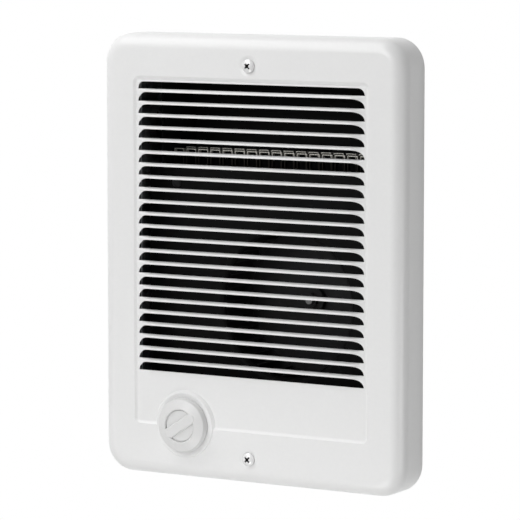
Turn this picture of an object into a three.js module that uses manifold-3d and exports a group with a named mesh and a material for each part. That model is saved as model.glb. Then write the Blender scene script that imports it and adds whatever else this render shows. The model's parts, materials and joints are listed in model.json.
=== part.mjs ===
// A recessed bathroom wall fan heater: a steel wall can that sits in the wall, a black heater plate with
// its round air inlet, a squirrel cage blower on a shaded pole motor, a ribbon element in an outlet duct,
// a rotary thermostat, and a white stamped grille with hooded louvres.
// Millimetres. +Z is up and the grille faces -Y. The origin is the centre of the wall can's back face.

import * as THREE from "three";
import { mergeVertices } from "three/addons/utils/BufferGeometryUtils.js";
import Module from "manifold-3d";

const wasm = await Module();
wasm.setup();

// ---- Driving dimensions ----

const gap = 0.3; // running or seating clearance between two pieces

// Wall can
const canWidth = 209.6;
const canHeight = 285.8;
const canDepth = 101.6;
const canSheet = 1.2;
const canFlange = 16; // depth of the in-turned flanges at the top and bottom
const screwInset = 9.3; // from the can's top and bottom to the screws in its flanges
const canFlangeWidth = 150;
const canCornerRadius = 2.4;
const studHoleRadius = 2.5;
const studHoleInset = 22; // from the can's front edge to the nail holes in its sides
const studHoleRise = 95;
const knockoutRadius = 11.1;
const knockoutGroove = 0.5;
const knockoutX = 68;
const knockoutY = 34; // from the can's back face
const clampScrewOffset = 8; // from the knockout's edge
const clampSheet = 1.5;
const clampArch = 9; // height of the clamp's saddle above the can's floor
const clampWidth = 16;
const clampHeel = 3; // from the knockout's edge to the clamp's heel
const clampFoot = 7; // foot beyond the clamp's screw
const clampNose = 2; // slope at the saddle's free end
const groundInset = 26.8; // from the can's left side to the ground screw
const groundHeight = 46.9; // above the can's floor
const groundHeadAcross = 7;
const groundHeadHeight = 3;

// Grille
const grilleSideOverlap = 12.7; // grille beyond the can at each side
const grilleEndOverlap = 9.5; // grille beyond the can at the top and bottom
const grilleDepth = 30;
const grilleRise = 1.4; // the grille's centre above the can's centre
const grilleSheet = 1;
const grilleEdgeRadius = 10;
const grilleCornerRadius = 20;
const recessSideMargin = 26.9; // from the grille's side to the recess
const recessTopMargin = 29.7;
const recessBottomMargin = 36.4;
const recessDepth = 1.2;
const recessStep = 2.4;
const recessCornerRadius = 3;

// Louvres: each slot is cut along its bottom edge and the metal above it is drawn forward as a hood
const slotCount = 24;
const slotSideMargin = 2.4; // from the recess's side to the slots
const louvreTopRise = 0.58; // a whole first slot would start this far above the recess
const louvreBottomMargin = 36.3; // plain panel under the last slot, where the knob stands
const topSlotTrim = 2.74; // the top slot is this much shorter at its top
const hoodReach = 4.2;
const hoodDroop = 1.64;
const hoodEndRun = 10; // length of the rounded end
const hoodEndTaper = 6; // how fast the reach fades towards the end
const hoodSheet = 0.75; // drawn thinner than the panel
const hoodRim = 0.15; // least height of a hood's edge above the panel
const topHoodDroop = 0.3;
const topHoodEndRun = 3.2;
const hoodSteps = 4;

// Thermostat knob and its boss on the grille
const knobX = -50.7;
const knobRise = 0.8; // the knob's centre above the recess's bottom edge
const bossRadius = 23.6;
const bossDraft = 1.7;
const bossProud = 0.9; // above the grille's front
const knobRadius = 18.8;
const knobHeight = 6.8;
const knobRimRadius = 2.6;
const knobDishRadius = 11.4;
const knobDishDepth = 2;
const knobBarWidth = 7.4;
const knobBarProud = 0.2;
const knobBarAngle = 33; // degrees above the horizontal, from lower left to upper right
const knobWall = 2;
const knobHubRadius = 5.6;
const knobDishSlope = 2.4; // width of the dish's sloping side
const knobBarOverhang = 2.6; // bar beyond the dish's edge at each end
const knobSkirtFlare = 0.3;

// Thermostat
const thermostatWidth = 38;
const thermostatHeight = 26;
const thermostatDepth = 15;
const thermostatNeckRadius = 4.7;
const thermostatShaftRadius = 3.1;
const shaftFlat = 0.8;
const thermostatSetback = 3; // air between the thermostat and the heater plate
const thermostatNutAcross = 13;
const bracketSheet = 1.2;
const bracketFoot = 10;
const nutThickness = 2.6;
const terminalTabWidth = 6.3;
const terminalTabSheet = 0.8;

// Heater plate
const plateSideMargin = 8.8; // from the can's sides to the plate's
const plateTop = 61;
const plateBottomMargin = 15.9; // from the can's bottom to the plate's lower corners
const plateSheet = 1;
const plateTabWidth = 124;
const chassisScrewX = 50;
const inletRadius = 50;
const inletLip = 4; // radius of the rolled inlet

// Blower
const blowerX = 12.7;
const blowerZ = -30.6;
const scrollDepth = 44; // inside, from the heater plate to the scroll's back
const scrollSheet = 1;
const tongueRadius = 65;
const scrollEndRadius = 86;
const tongueAngle = 40; // degrees above the horizontal
const scrollSteps = 22;
const wheelRadius = 60;
const wheelEyeRadius = 50.6;
const wheelWidth = 36;
const wheelFrontGap = 5;
const bladeCount = 32;
const bladeSheet = 0.9;
const bladeSteps = 2;
const wheelSheet = 1;
const wheelRingWidth = 4;
const wheelRingDepth = 2;
const wheelRingLip = 0.6; // the front ring's edge outside the blades
const bladeLead = 2; // degrees that a blade's root is turned ahead
const bladeSweep = 11; // degrees that a blade's tip curves
const hubRadius = 9;
const hubLength = 7;
const hubStep = 4.5; // the hub stands this far in front of the wheel's back plate
const hubNutAcross = 9;

// Motor
const shaftRadius = 2.5;
const shaftNose = 2; // shaft in front of the hub nut
const stackThickness = 20;
const stackHeight = 56;
const stackWidth = 54;
const poleBoreRadius = 18.4;
const rotorAirGap = 0.5;
const coilLegWidth = 14;
const coilLegOffset = 55; // from the shaft to the middle of the coil's leg
const windowHeight = 28;
const coilBuild = 9.5;
const bobbinSheet = 1.4;
const motorSetback = 15; // from the scroll's back to the stack
const motorBoltOffset = 21.5;
const motorBoltRadius = 2;
const motorNutThickness = 3;
const motorNutAcross = 7.5;
const motorBoltAcross = 7;
const motorBoltHead = 2.8;
const rotorRingInset = 3; // the rotor's end rings inside its rim
const rotorRingHeight = 1.6;
const bracketPostRadius = 5.4;
const bearingRadius = 5;
const bearingLength = 8;
const bearingSetback = 3; // from the stack to each bearing
const bracketThickness = 2;
const bracketArmWidth = 9;
const bracketStandoff = 4; // from the stack to the bracket's bridge
const bracketBossRadius = 8;

// Outlet duct and element
const ductSideMargin = 17.8; // from the can's sides to the duct's
const ductTopMargin = 19.9; // from the can's top to the duct's ceiling
const ductBottom = 37;
const ductSheet = 1;
const ductBackRadius = 27;
const ductScrewInset = 13; // from the duct's sides
const ductScrewZ = 50;
const ribbonCrests = 17;
const ribbonSideRoom = 8.6; // from the duct's sides to the middle of the first and last crests
const ribbonCrestGap = 2;
const ribbonThickness = 0.5;
const ribbonWidth = 3;
const ribbonTop = 73;
const micaZ = 56;
const micaThickness = 1.2;
const micaWidth = 7.5;
const frontRibbonSetback = 10; // behind the wall's surface
const rearRibbonSetback = 26;
const terminalBarThickness = 1.5;
const terminalBarHeight = 9;
const terminalStudRadius = 2;
const bushNeckRadius = 4.2;
const bushFlangeRadius = 6.4;
const bushNeckLength = 7.6;

// Thermal limit
const limitRadius = 8;
const limitHeight = 7.5;
const limitFlangeLength = 30;
const limitFlangeWidth = 10;
const limitFlangeSheet = 0.8;
const limitDrop = 31; // below the duct's ceiling
const limitSetback = 20; // behind the wall's surface
const limitScrewInset = 3.2;
const limitTabOffset = 4; // from the cap's middle to each terminal tab
const limitTabReach = 5.5;

// Fasteners
const grilleScrewRadius = 1.9;
const grilleScrewHeadRadius = 4.8;
const grilleScrewHeadHeight = 2;
const smallScrewRadius = 1.6;
const smallScrewHeadRadius = 3.4;
const smallScrewHeadHeight = 1.8;
const looseHole = 1.4; // clearance round the grille's screws where they pass the heater plate and the duct
const screwTail = 6; // thread behind the last sheet that a screw holds

// ---- Places worked out from the sizes above ----

const degrees = Math.PI / 180;
const canFloor = -canHeight / 2;
const canFloorTop = canFloor + canSheet;
const clampX = -knockoutX;
const clampScrewX = clampX + knockoutRadius + clampScrewOffset;
const screwRise = canHeight / 2 - screwInset; // grille and chassis screws above and below the can's centre

const grilleWidth = canWidth + 2 * grilleSideOverlap;
const grilleHeight = canHeight + 2 * grilleEndOverlap;
const recessWidth = grilleWidth - 2 * recessSideMargin;
const recessTop = grilleRise + grilleHeight / 2 - recessTopMargin;
const recessBottom = grilleRise - grilleHeight / 2 + recessBottomMargin;
const slotWidth = recessWidth - 2 * slotSideMargin;
const firstHoodBase = recessTop + louvreTopRise;
const slotPitch = (firstHoodBase - recessBottom - louvreBottomMargin) / slotCount;
const knobZ = recessBottom + knobRise;
const plateBottom = canFloor + plateBottomMargin;
const ductTop = canHeight / 2 - ductTopMargin;
const ductWidth = canWidth - 2 * ductSideMargin;
const ductScrewX = ductWidth / 2 - ductScrewInset;
const ribbonPitch = (ductWidth - 2 * ribbonSideRoom) / (ribbonCrests - 1);
const ribbonCrestWidth = ribbonPitch - ribbonCrestGap;
const plateWidth = canWidth - 2 * plateSideMargin;
const groundX = groundInset - canWidth / 2;
const groundZ = canFloor + groundHeight;

const wallY = -canDepth;
const frontY = wallY - grilleDepth;
const panelY = frontY + recessDepth;
const plateBackY = wallY - gap;
const plateFrontY = plateBackY - plateSheet;
const scrollFrontY = wallY;
const scrollBackY = scrollFrontY + scrollDepth;
const bossY = frontY - bossProud;
const wheelFrontY = wallY + wheelFrontGap;
const wheelBackY = wheelFrontY + wheelWidth;
const hubFrontY = wheelBackY - wheelSheet - hubStep;
const hubNutSpan = [hubFrontY - gap - nutThickness, hubFrontY - gap];
const cageBackY = wheelBackY - wheelSheet - gap;
const stackFrontY = scrollBackY + motorSetback;
const stackBackY = stackFrontY + stackThickness;
const ductBackY = scrollBackY;
const slotHalf = slotWidth / 2;
const ductHalf = ductWidth / 2;
const flangeInnerY = wallY + canSheet;
const mouthTop = ductBottom - gap;

const knobSeatY = bossY - gap;
const knobTopY = knobSeatY - knobHeight;
const bracketFrontY = plateFrontY - gap - bracketSheet - thermostatDepth - thermostatSetback;
const thermostatBackY = bracketFrontY + bracketSheet + gap + thermostatDepth;
const bracketLeg = thermostatWidth / 2 + gap + bracketSheet;
const footScrewX = bracketLeg + bracketFoot / 2;

const bearingFrontY = stackFrontY - bearingLength - bearingSetback;
const bearingBackY = stackBackY + bearingSetback;
const shaftEndY = bearingBackY + bearingLength + 2;
const coilLegX = blowerX - coilLegOffset;
const boltPlaces = [
  [blowerX + motorBoltOffset, blowerZ + motorBoltOffset],
  [blowerX - motorBoltOffset, blowerZ - motorBoltOffset],
];

const frontRibbonY = wallY + frontRibbonSetback;
const rearRibbonY = wallY + rearRibbonSetback;
const terminalY = (frontRibbonY + rearRibbonY) / 2;
const ribbonLowZ = micaZ - gap - ribbonThickness;
const terminalZ = ribbonLowZ - terminalBarHeight / 2;
const firstCrestX = (-(ribbonCrests - 1) * ribbonPitch) / 2;
const legOffset = (ribbonCrestWidth - ribbonThickness) / 2;
const outerLegFace = -firstCrestX + legOffset + ribbonThickness / 2;
const limitY = wallY + limitSetback;
const limitZ = ductTop - limitDrop;
const limitScrewRise = limitFlangeLength / 2 - limitScrewInset;

// ---- Solids ----

// A closed mesh as a solid, turned outwards where its profile ran the other way.
function solid(geometry) {
  const bare = geometry.clone();
  bare.deleteAttribute("normal");
  bare.deleteAttribute("uv");
  const merged = mergeVertices(bare, 1e-4);
  const corners = [];
  const index = merged.index.array;
  for (let i = 0; i < index.length; i += 3) {
    const [a, b, c] = [index[i], index[i + 1], index[i + 2]];
    if (a !== b && b !== c && c !== a) corners.push(a, b, c);
  }
  const vertProperties = new Float32Array(merged.attributes.position.array);
  const build = (triVerts) => new wasm.Manifold(new wasm.Mesh({ numProp: 3, vertProperties, triVerts }));
  const made = build(new Uint32Array(corners));
  return made.volume() > 0 ? made : build(new Uint32Array(corners.reverse()));
}

// A solid's surface as a geometry with flat faces.
function surface(body) {
  const { numProp, numVert, vertProperties, triVerts } = body.getMesh();
  const points = new Float32Array(numVert * 3);
  for (let i = 0; i < numVert; i += 1) {
    points.set(vertProperties.subarray(i * numProp, i * numProp + 3), i * 3);
  }
  const indexed = new THREE.BufferGeometry();
  indexed.setAttribute("position", new THREE.BufferAttribute(points, 3));
  indexed.setIndex(new THREE.BufferAttribute(new Uint32Array(triVerts), 1));
  const flat = indexed.toNonIndexed();
  flat.computeVertexNormals();
  return flat;
}

const unite = (bodies) => bodies.reduce((whole, body) => whole.add(body));

function box([x0, x1], [y0, y1], [z0, z1]) {
  const shape = new THREE.BoxGeometry(Math.abs(x1 - x0), Math.abs(y1 - y0), Math.abs(z1 - z0));
  return solid(shape.translate((x0 + x1) / 2, (y0 + y1) / 2, (z0 + z1) / 2));
}

// A rod along Y, X or Z between two places on that axis.
function rodY(radius, [y0, y1], x, z, sides = 18) {
  const shape = new THREE.CylinderGeometry(radius, radius, Math.abs(y1 - y0), sides);
  return solid(shape.translate(x, (y0 + y1) / 2, z));
}

function rodX(radius, [x0, x1], y, z, sides = 18) {
  const shape = new THREE.CylinderGeometry(radius, radius, Math.abs(x1 - x0), sides);
  return solid(shape.rotateZ(Math.PI / 2).translate((x0 + x1) / 2, y, z));
}

function rodZ(radius, [z0, z1], x, y, sides = 18) {
  const shape = new THREE.CylinderGeometry(radius, radius, Math.abs(z1 - z0), sides);
  return solid(shape.rotateX(Math.PI / 2).translate(x, y, (z0 + z1) / 2));
}

// A flat outline in X and Z, cut from sheet between two depths.
function sheet(outline, [y0, y1], curveSegments = 8) {
  const shape = new THREE.ExtrudeGeometry(outline, { depth: y1 - y0, bevelEnabled: false, curveSegments });
  return solid(shape.rotateX(Math.PI / 2).translate(0, y1, 0));
}

// An outline in Y and Z, run along X.
function section(outline, [x0, x1], curveSegments = 8) {
  const shape = new THREE.ExtrudeGeometry(outline, { depth: x1 - x0, bevelEnabled: false, curveSegments });
  shape.rotateX(Math.PI / 2);
  shape.rotateZ(Math.PI / 2);
  return solid(shape.translate(x0, 0, 0));
}

function polygon(points) {
  return new THREE.Shape(points.map(([u, v]) => new THREE.Vector2(u, v)));
}

// A turned piece: its profile is radius against Y, and it turns about a line through x and z.
function turned(profile, x, z, sides = 32) {
  const points = profile.map(([radius, y]) => new THREE.Vector2(radius, y));
  return solid(new THREE.LatheGeometry(points, sides).translate(x, 0, z));
}

// A ring's profile: inner and outer radius between two depths.
const ringProfile = (inner, outer, [y0, y1]) => [
  [inner, y0],
  [outer, y0],
  [outer, y1],
  [inner, y1],
  [inner, y0],
];

// The corners of a rounded rectangle at one depth.
function roundedRing(width, height, radius, y, centreZ, steps = 6) {
  const ring = [];
  for (let corner = 0; corner < 4; corner += 1) {
    const sideX = corner === 0 || corner === 3 ? 1 : -1;
    const sideZ = corner < 2 ? 1 : -1;
    for (let step = 0; step <= steps; step += 1) {
      const angle = ((corner + step / steps) * Math.PI) / 2;
      const x = sideX * (width / 2 - radius) + radius * Math.cos(angle);
      const z = centreZ + sideZ * (height / 2 - radius) + radius * Math.sin(angle);
      ring.push(new THREE.Vector3(x, y, z));
    }
  }
  return ring;
}

// A closed skin through rings of equally many points, with flat ends.
function loft(rings) {
  const count = rings[0].length;
  const points = rings.flat().flatMap((point) => point.toArray());
  const index = [];
  for (let ring = 0; ring < rings.length - 1; ring += 1) {
    for (let i = 0; i < count; i += 1) {
      const a = ring * count + i;
      const b = ring * count + ((i + 1) % count);
      index.push(a, b, b + count, a, b + count, a + count);
    }
  }
  const last = (rings.length - 1) * count;
  for (let i = 1; i < count - 1; i += 1) {
    index.push(0, i + 1, i);
    index.push(last, last + i, last + i + 1);
  }
  const skin = new THREE.BufferGeometry();
  skin.setAttribute("position", new THREE.Float32BufferAttribute(points, 3));
  skin.setIndex(index);
  return solid(skin);
}

// A hexagon nut or bolt head along Y or X.
const hexY = (acrossFlats, span, x, z) => rodY(acrossFlats / Math.sqrt(3), span, x, z, 6);
const hexX = (acrossFlats, span, y, z) => rodX(acrossFlats / Math.sqrt(3), span, y, z, 6);

// ---- The assembly ----

const heater = new THREE.Group();

const finishes = {
  galvanised: { color: 0xa9adae, roughness: 0.45, metalness: 0.85 },
  white: { color: 0xe9e9e8, roughness: 0.38, metalness: 0 },
  knobPlastic: { color: 0xededea, roughness: 0.42, metalness: 0 },
  black: { color: 0x17181a, roughness: 0.55, metalness: 0.1 },
  plated: { color: 0xc9cacb, roughness: 0.3, metalness: 0.9 },
  steel: { color: 0x8f9294, roughness: 0.4, metalness: 0.9 },
  lamination: { color: 0x55585c, roughness: 0.5, metalness: 0.8 },
  copper: { color: 0x9a4f24, roughness: 0.4, metalness: 0.7 },
  nylon: { color: 0xd8d4c4, roughness: 0.55, metalness: 0 },
  bronze: { color: 0xa0783c, roughness: 0.5, metalness: 0.8 },
  nichrome: { color: 0xb9b4a8, roughness: 0.4, metalness: 0.85 },
  mica: { color: 0x8a7a58, roughness: 0.6, metalness: 0 },
  ceramic: { color: 0xe6e0d2, roughness: 0.5, metalness: 0 },
  brass: { color: 0xb8923f, roughness: 0.35, metalness: 0.9 },
  phenolic: { color: 0x2a2522, roughness: 0.5, metalness: 0 },
  green: { color: 0x2f7a43, roughness: 0.45, metalness: 0.3 },
};

function place(name, body, finish) {
  const mesh = new THREE.Mesh(surface(body), new THREE.MeshStandardMaterial(finishes[finish]));
  mesh.name = name;
  heater.add(mesh);
}

// ---- Wall can ----

function wallCan() {
  const inside = canSheet;
  const outer = loft(
    [wallY, 0].map((y) => roundedRing(canWidth, canHeight, canCornerRadius, y, 0, 2)),
  );
  const hollow = loft(
    [wallY - 1, -inside].map((y) =>
      roundedRing(canWidth - 2 * inside, canHeight - 2 * inside, canCornerRadius - inside, y, 0, 2),
    ),
  );
  let can = outer.subtract(hollow);
  for (const side of [-1, 1]) {
    const edge = side * (canHeight / 2 - canSheet / 2);
    const lip = side * (canHeight / 2 - canFlange);
    can = can.add(box([-canFlangeWidth / 2, canFlangeWidth / 2], [wallY, flangeInnerY], [edge, lip]));
    for (const x of [-chassisScrewX, 0, chassisScrewX]) {
      const hole = (x === 0 ? grilleScrewRadius : smallScrewRadius) + gap;
      can = can.subtract(rodY(hole, [wallY - 1, flangeInnerY + 1], x, side * screwRise, 10));
    }
    const wall = [side * (canWidth / 2 + 1), side * (canWidth / 2 - canSheet - 1)];
    for (const rise of [-studHoleRise, studHoleRise]) {
      can = can.subtract(rodX(studHoleRadius, wall, wallY + studHoleInset, rise, 10));
    }
  }
  // Knockouts stay joined by a thin web, but the one under the cable clamp is punched out.
  const floorSpan = [canFloor - 1, canFloorTop + 1];
  can = can.subtract(rodZ(knockoutRadius, floorSpan, clampX, -knockoutY, 16));
  const groove = (z0, z1, x) =>
    rodZ(knockoutRadius, [z0, z1], x, -knockoutY, 16).subtract(
      rodZ(knockoutRadius - 1, [z0 - 1, z1 + 1], x, -knockoutY, 16),
    );
  can = can.subtract(groove(canFloor - 1, canFloor + knockoutGroove, knockoutX));
  for (const x of [-knockoutX, knockoutX]) {
    can = can.subtract(groove(canHeight / 2 - knockoutGroove, canHeight / 2 + 1, x));
  }
  can = can.subtract(rodZ(smallScrewRadius + gap, floorSpan, clampScrewX, -knockoutY, 10));
  can = can.subtract(rodY(smallScrewRadius + gap, [-canSheet - 1, 1], groundX, groundZ, 10));
  return can;
}

// A bent strap whose heel stands on the can's floor and whose saddle presses on the supply cable.
function cableClamp() {
  const low = canFloorTop + gap;
  const nose = clampX - knockoutRadius;
  const heel = clampX + knockoutRadius + clampHeel;
  const toe = clampScrewX + clampFoot;
  const outline = polygon([
    [nose, low + clampArch],
    [nose + clampNose, low + clampArch - clampSheet],
    [heel, low + clampArch - clampSheet],
    [heel, low],
    [toe, low],
    [toe, low + clampSheet],
    [heel + clampSheet, low + clampSheet],
    [heel + clampSheet, low + clampArch],
  ]);
  const strap = sheet(outline, [-knockoutY - clampWidth / 2, -knockoutY + clampWidth / 2]);
  const hole = rodZ(smallScrewRadius + gap, [low - 1, low + clampSheet + 1], clampScrewX, -knockoutY, 10);
  return strap.subtract(hole);
}

function clampScrew() {
  const head = canFloorTop + gap + clampSheet + gap;
  const shank = rodZ(smallScrewRadius, [canFloor - 2, head + 0.2], clampScrewX, -knockoutY, 10);
  const headSpan = [head, head + smallScrewHeadHeight];
  return shank.add(rodZ(smallScrewHeadRadius, headSpan, clampScrewX, -knockoutY, 10));
}

function groundScrew() {
  const head = -canSheet - gap;
  const shank = rodY(smallScrewRadius, [head - 0.2, -0.1], groundX, groundZ, 10);
  return shank.add(hexY(groundHeadAcross, [head - groundHeadHeight, head], groundX, groundZ));
}

// ---- Grille ----

// The drawn steel front: a rounded rectangle whose front edge turns back to the wall in a quarter round.
function grilleForm(inset, backY) {
  const radius = grilleEdgeRadius - inset;
  const steps = 5;
  const rings = [];
  const ringAt = (inward, y) =>
    roundedRing(
      grilleWidth - 2 * (inset + inward),
      grilleHeight - 2 * (inset + inward),
      grilleCornerRadius - inset - inward,
      y,
      grilleRise,
      5,
    );
  for (let step = 0; step <= steps; step += 1) {
    const angle = ((step / steps) * Math.PI) / 2;
    const depth = inset + radius - radius * Math.cos(angle);
    rings.push(ringAt(radius - radius * Math.sin(angle), frontY + depth));
  }
  rings.push(ringAt(0, backY));
  return loft(rings);
}

// The shallow recess that holds the louvres: its border is a soft step.
function recessForm(grow) {
  const height = recessTop - recessBottom;
  const centreZ = (recessTop + recessBottom) / 2;
  const over = 1;
  const slope = recessStep / recessDepth;
  const ringAt = (spread, y) =>
    roundedRing(recessWidth + 2 * spread, height + 2 * spread, recessCornerRadius + spread, y, centreZ, 3);
  const half = recessStep / 2;
  return loft([
    ringAt(half + slope * over + grow, frontY - over + grow),
    ringAt(grow - half, panelY + grow),
  ]);
}

function bossForm(inset) {
  const low = panelY + inset;
  const high = bossY + inset;
  const profile = [
    [0, high],
    [bossRadius - bossDraft - inset, high],
    [bossRadius - inset, low + 2],
    [0, low + 2],
  ];
  return turned(profile, knobX, knobZ, 28);
}

// One louvre's hood: metal drawn forward from its base to its lip, closed round to the slot's bottom
// corners at both ends.
function hood(base, droop, reach, endRun, bottom) {
  const straight = slotHalf + grilleSheet / 2 - endRun;
  const lip = base - droop;
  const outerY = panelY + hoodRim;
  const innerY = panelY + grilleSheet - hoodRim;
  const stations = [];
  for (const side of [-1, 1]) {
    for (let step = 0; step <= hoodSteps; step += 1) {
      const part = (side < 0 ? hoodSteps - step : step) / hoodSteps;
      const turn = (part * Math.PI) / 2;
      const sine = Math.sin(turn);
      const cosine = Math.cos(turn);
      const run = Math.min(1, part * 2);
      const drop = Math.max(0, part * 2 - 1);
      const baseX = side * (straight + endRun * run);
      const baseZ = base - (base - bottom) * drop;
      const lipX = side * (straight + endRun * sine);
      const lipZ = bottom + (lip - bottom) * cosine;
      const lipY = panelY - hoodRim - (reach - hoodRim) * cosine ** hoodEndTaper;
      const inX = -side * hoodSheet * sine;
      const inZ = -hoodSheet * cosine;
      stations.push([
        new THREE.Vector3(baseX, outerY, baseZ),
        new THREE.Vector3(lipX, lipY, lipZ),
        new THREE.Vector3(lipX + inX, lipY, lipZ + inZ),
        new THREE.Vector3(baseX + inX, innerY, baseZ + inZ),
      ]);
    }
  }
  return loft(stations);
}

function grille() {
  const backY = wallY - gap;
  const skin = (inset, depth) => grilleForm(inset, depth).subtract(recessForm(inset)).add(bossForm(inset));
  let front = skin(0, backY).subtract(skin(grilleSheet, backY + 1));
  const openTop = firstHoodBase - topSlotTrim;
  const openBottom = firstHoodBase - slotCount * slotPitch;
  front = front.subtract(box([-slotHalf, slotHalf], [frontY - 2, panelY + 3], [openBottom, openTop]));
  const secondBase = firstHoodBase - slotPitch;
  const topBase = openTop + hoodRim;
  const hoods = [hood(topBase, topHoodDroop, recessDepth, topHoodEndRun, secondBase - hoodRim)];
  for (let slot = 1; slot < slotCount; slot += 1) {
    const base = firstHoodBase - slot * slotPitch;
    hoods.push(hood(base, hoodDroop, hoodReach, hoodEndRun, base - slotPitch - hoodRim));
  }
  front = front.add(unite(hoods));
  front = front.subtract(rodY(knobHubRadius + 1.4, [bossY - 1, panelY + 4], knobX, knobZ, 24));
  for (const side of [-1, 1]) {
    front = front.subtract(rodY(grilleScrewRadius + gap, [frontY - 1, frontY + 3], 0, side * screwRise, 10));
  }
  return front;
}

function grilleScrew(side) {
  const z = side * screwRise;
  const seat = frontY - gap;
  const top = seat - grilleScrewHeadHeight;
  const head = turned(
    [
      [0, top],
      [grilleScrewHeadRadius * 0.55, top],
      [grilleScrewHeadRadius * 0.88, top + grilleScrewHeadHeight * 0.3],
      [grilleScrewHeadRadius, seat - 0.4],
      [grilleScrewHeadRadius, seat],
      [0, seat],
    ],
    0,
    z,
    18,
  );
  const shank = rodY(grilleScrewRadius, [seat - 0.2, flangeInnerY + screwTail], 0, z, 10);
  return head.add(shank);
}

// ---- Thermostat and knob ----

// The knob: a rounded disc with a round dish, crossed by a raised bar for the fingers.
function knob() {
  const rim = [];
  const rimSteps = 4;
  for (let step = 0; step <= rimSteps; step += 1) {
    const angle = ((step / rimSteps) * Math.PI) / 2;
    const radius = knobRadius - knobRimRadius + knobRimRadius * Math.sin(angle);
    rim.push([radius, knobTopY + knobRimRadius - knobRimRadius * Math.cos(angle)]);
  }
  const dishFloor = knobTopY + knobDishDepth;
  const disc = turned(
    [
      [0, dishFloor],
      [knobDishRadius - knobDishSlope, dishFloor],
      [knobDishRadius - knobDishSlope / 4, dishFloor - knobDishSlope / 2],
      [knobDishRadius, knobTopY],
      ...rim,
      [knobRadius + knobSkirtFlare, knobSeatY],
      [0, knobSeatY],
    ],
    knobX,
    knobZ,
    30,
  );
  const hollow = turned(
    ringProfile(knobHubRadius, knobRadius - knobWall, [dishFloor + knobWall, knobSeatY + 1]),
    knobX,
    knobZ,
    24,
  );
  const half = knobBarWidth / 2;
  const reach = knobDishRadius + knobBarOverhang;
  const outline = new THREE.Shape();
  outline.moveTo(-reach + half, -half);
  outline.lineTo(reach - half, -half);
  outline.absarc(reach - half, 0, half, -Math.PI / 2, Math.PI / 2, false);
  outline.lineTo(-reach + half, half);
  outline.absarc(-reach + half, 0, half, Math.PI / 2, (3 * Math.PI) / 2, false);
  const depth = knobDishDepth + knobBarProud + 0.5;
  const barShape = new THREE.ExtrudeGeometry(outline, { depth, bevelEnabled: false, curveSegments: 6 });
  barShape.rotateX(Math.PI / 2).rotateY((-knobBarAngle * Math.PI) / 180);
  const bar = solid(barShape.translate(knobX, knobTopY - knobBarProud + depth, knobZ));
  const bore = shaftSolid(gap, knobTopY + knobDishDepth + 1, knobSeatY + 1);
  return disc.add(bar).subtract(hollow).subtract(bore);
}

// The thermostat's round shaft with one flat along it.
function shaftSolid(grow, y0, y1) {
  const round = rodY(thermostatShaftRadius + grow, [y0, y1], knobX, knobZ, 20);
  const flat = knobX + thermostatShaftRadius - shaftFlat + grow;
  const off = box([flat, flat + 10], [y0 - 1, y1 + 1], [knobZ - 10, knobZ + 10]);
  return round.subtract(off);
}

const thermostatShaft = () =>
  shaftSolid(0, knobTopY + knobDishDepth + 1 + gap, bracketFrontY + thermostatSetback);

function thermostatBody() {
  const y0 = bracketFrontY + bracketSheet + gap;
  const round = (y) => roundedRing(thermostatWidth, thermostatHeight, 3, y, 0, 3);
  const corner = loft([round(y0), round(thermostatBackY)]);
  let body = corner.translate([knobX, 0, knobZ]);
  const neckEnd = bracketFrontY - nutThickness - 2;
  body = body.add(rodY(thermostatNeckRadius, [neckEnd, y0 + 1], knobX, knobZ, 24));
  const boreSpan = [neckEnd - 1, bracketFrontY + thermostatSetback + gap];
  return body.subtract(rodY(thermostatShaftRadius + gap, boreSpan, knobX, knobZ, 20));
}

function thermostatNut() {
  const span = [bracketFrontY - gap - nutThickness, bracketFrontY - gap];
  const hole = rodY(thermostatNeckRadius + gap, [span[0] - 1, span[1] + 1], knobX, knobZ, 24);
  return hexY(thermostatNutAcross, span, knobX, knobZ).subtract(hole);
}

// A top-hat bracket that stands on the heater plate and carries the thermostat by its neck.
function thermostatBracket() {
  const base = plateFrontY - gap;
  const thick = bracketSheet;
  const leg = bracketLeg;
  const outline = polygon([
    [-leg - bracketFoot, base],
    [-leg - bracketFoot, base - thick],
    [-leg, base - thick],
    [-leg, bracketFrontY],
    [leg, bracketFrontY],
    [leg, base - thick],
    [leg + bracketFoot, base - thick],
    [leg + bracketFoot, base],
    [leg - thick, base],
    [leg - thick, bracketFrontY + thick],
    [-leg + thick, bracketFrontY + thick],
    [-leg + thick, base],
  ]);
  const height = thermostatHeight - 3;
  const shape = new THREE.ExtrudeGeometry(outline, { depth: height, bevelEnabled: false });
  const bent = solid(shape.translate(knobX, 0, knobZ - height / 2));
  let bracket = bent.subtract(
    rodY(thermostatNeckRadius + gap, [bracketFrontY - 1, bracketFrontY + thick + 1], knobX, knobZ, 24),
  );
  for (const side of [-1, 1]) {
    const x = knobX + side * footScrewX;
    bracket = bracket.subtract(rodY(smallScrewRadius + gap, [base - thick - 1, base + 1], x, knobZ, 10));
  }
  return bracket;
}

function bracketScrew(side) {
  const seat = plateFrontY - gap - bracketSheet - gap;
  return plateScrew(knobX + side * footScrewX, knobZ, seat, plateBackY);
}

// A pan head screw along Y, seated on its sheets from the front.
function plateScrew(x, z, seat, lastSheetBack) {
  const head = turned(
    [
      [0, seat - smallScrewHeadHeight],
      [smallScrewHeadRadius * 0.7, seat - smallScrewHeadHeight],
      [smallScrewHeadRadius, seat - smallScrewHeadHeight * 0.45],
      [smallScrewHeadRadius, seat],
      [0, seat],
    ],
    x,
    z,
    12,
  );
  return head.add(rodY(smallScrewRadius, [seat - 0.2, lastSheetBack + screwTail / 2], x, z, 10));
}

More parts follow.
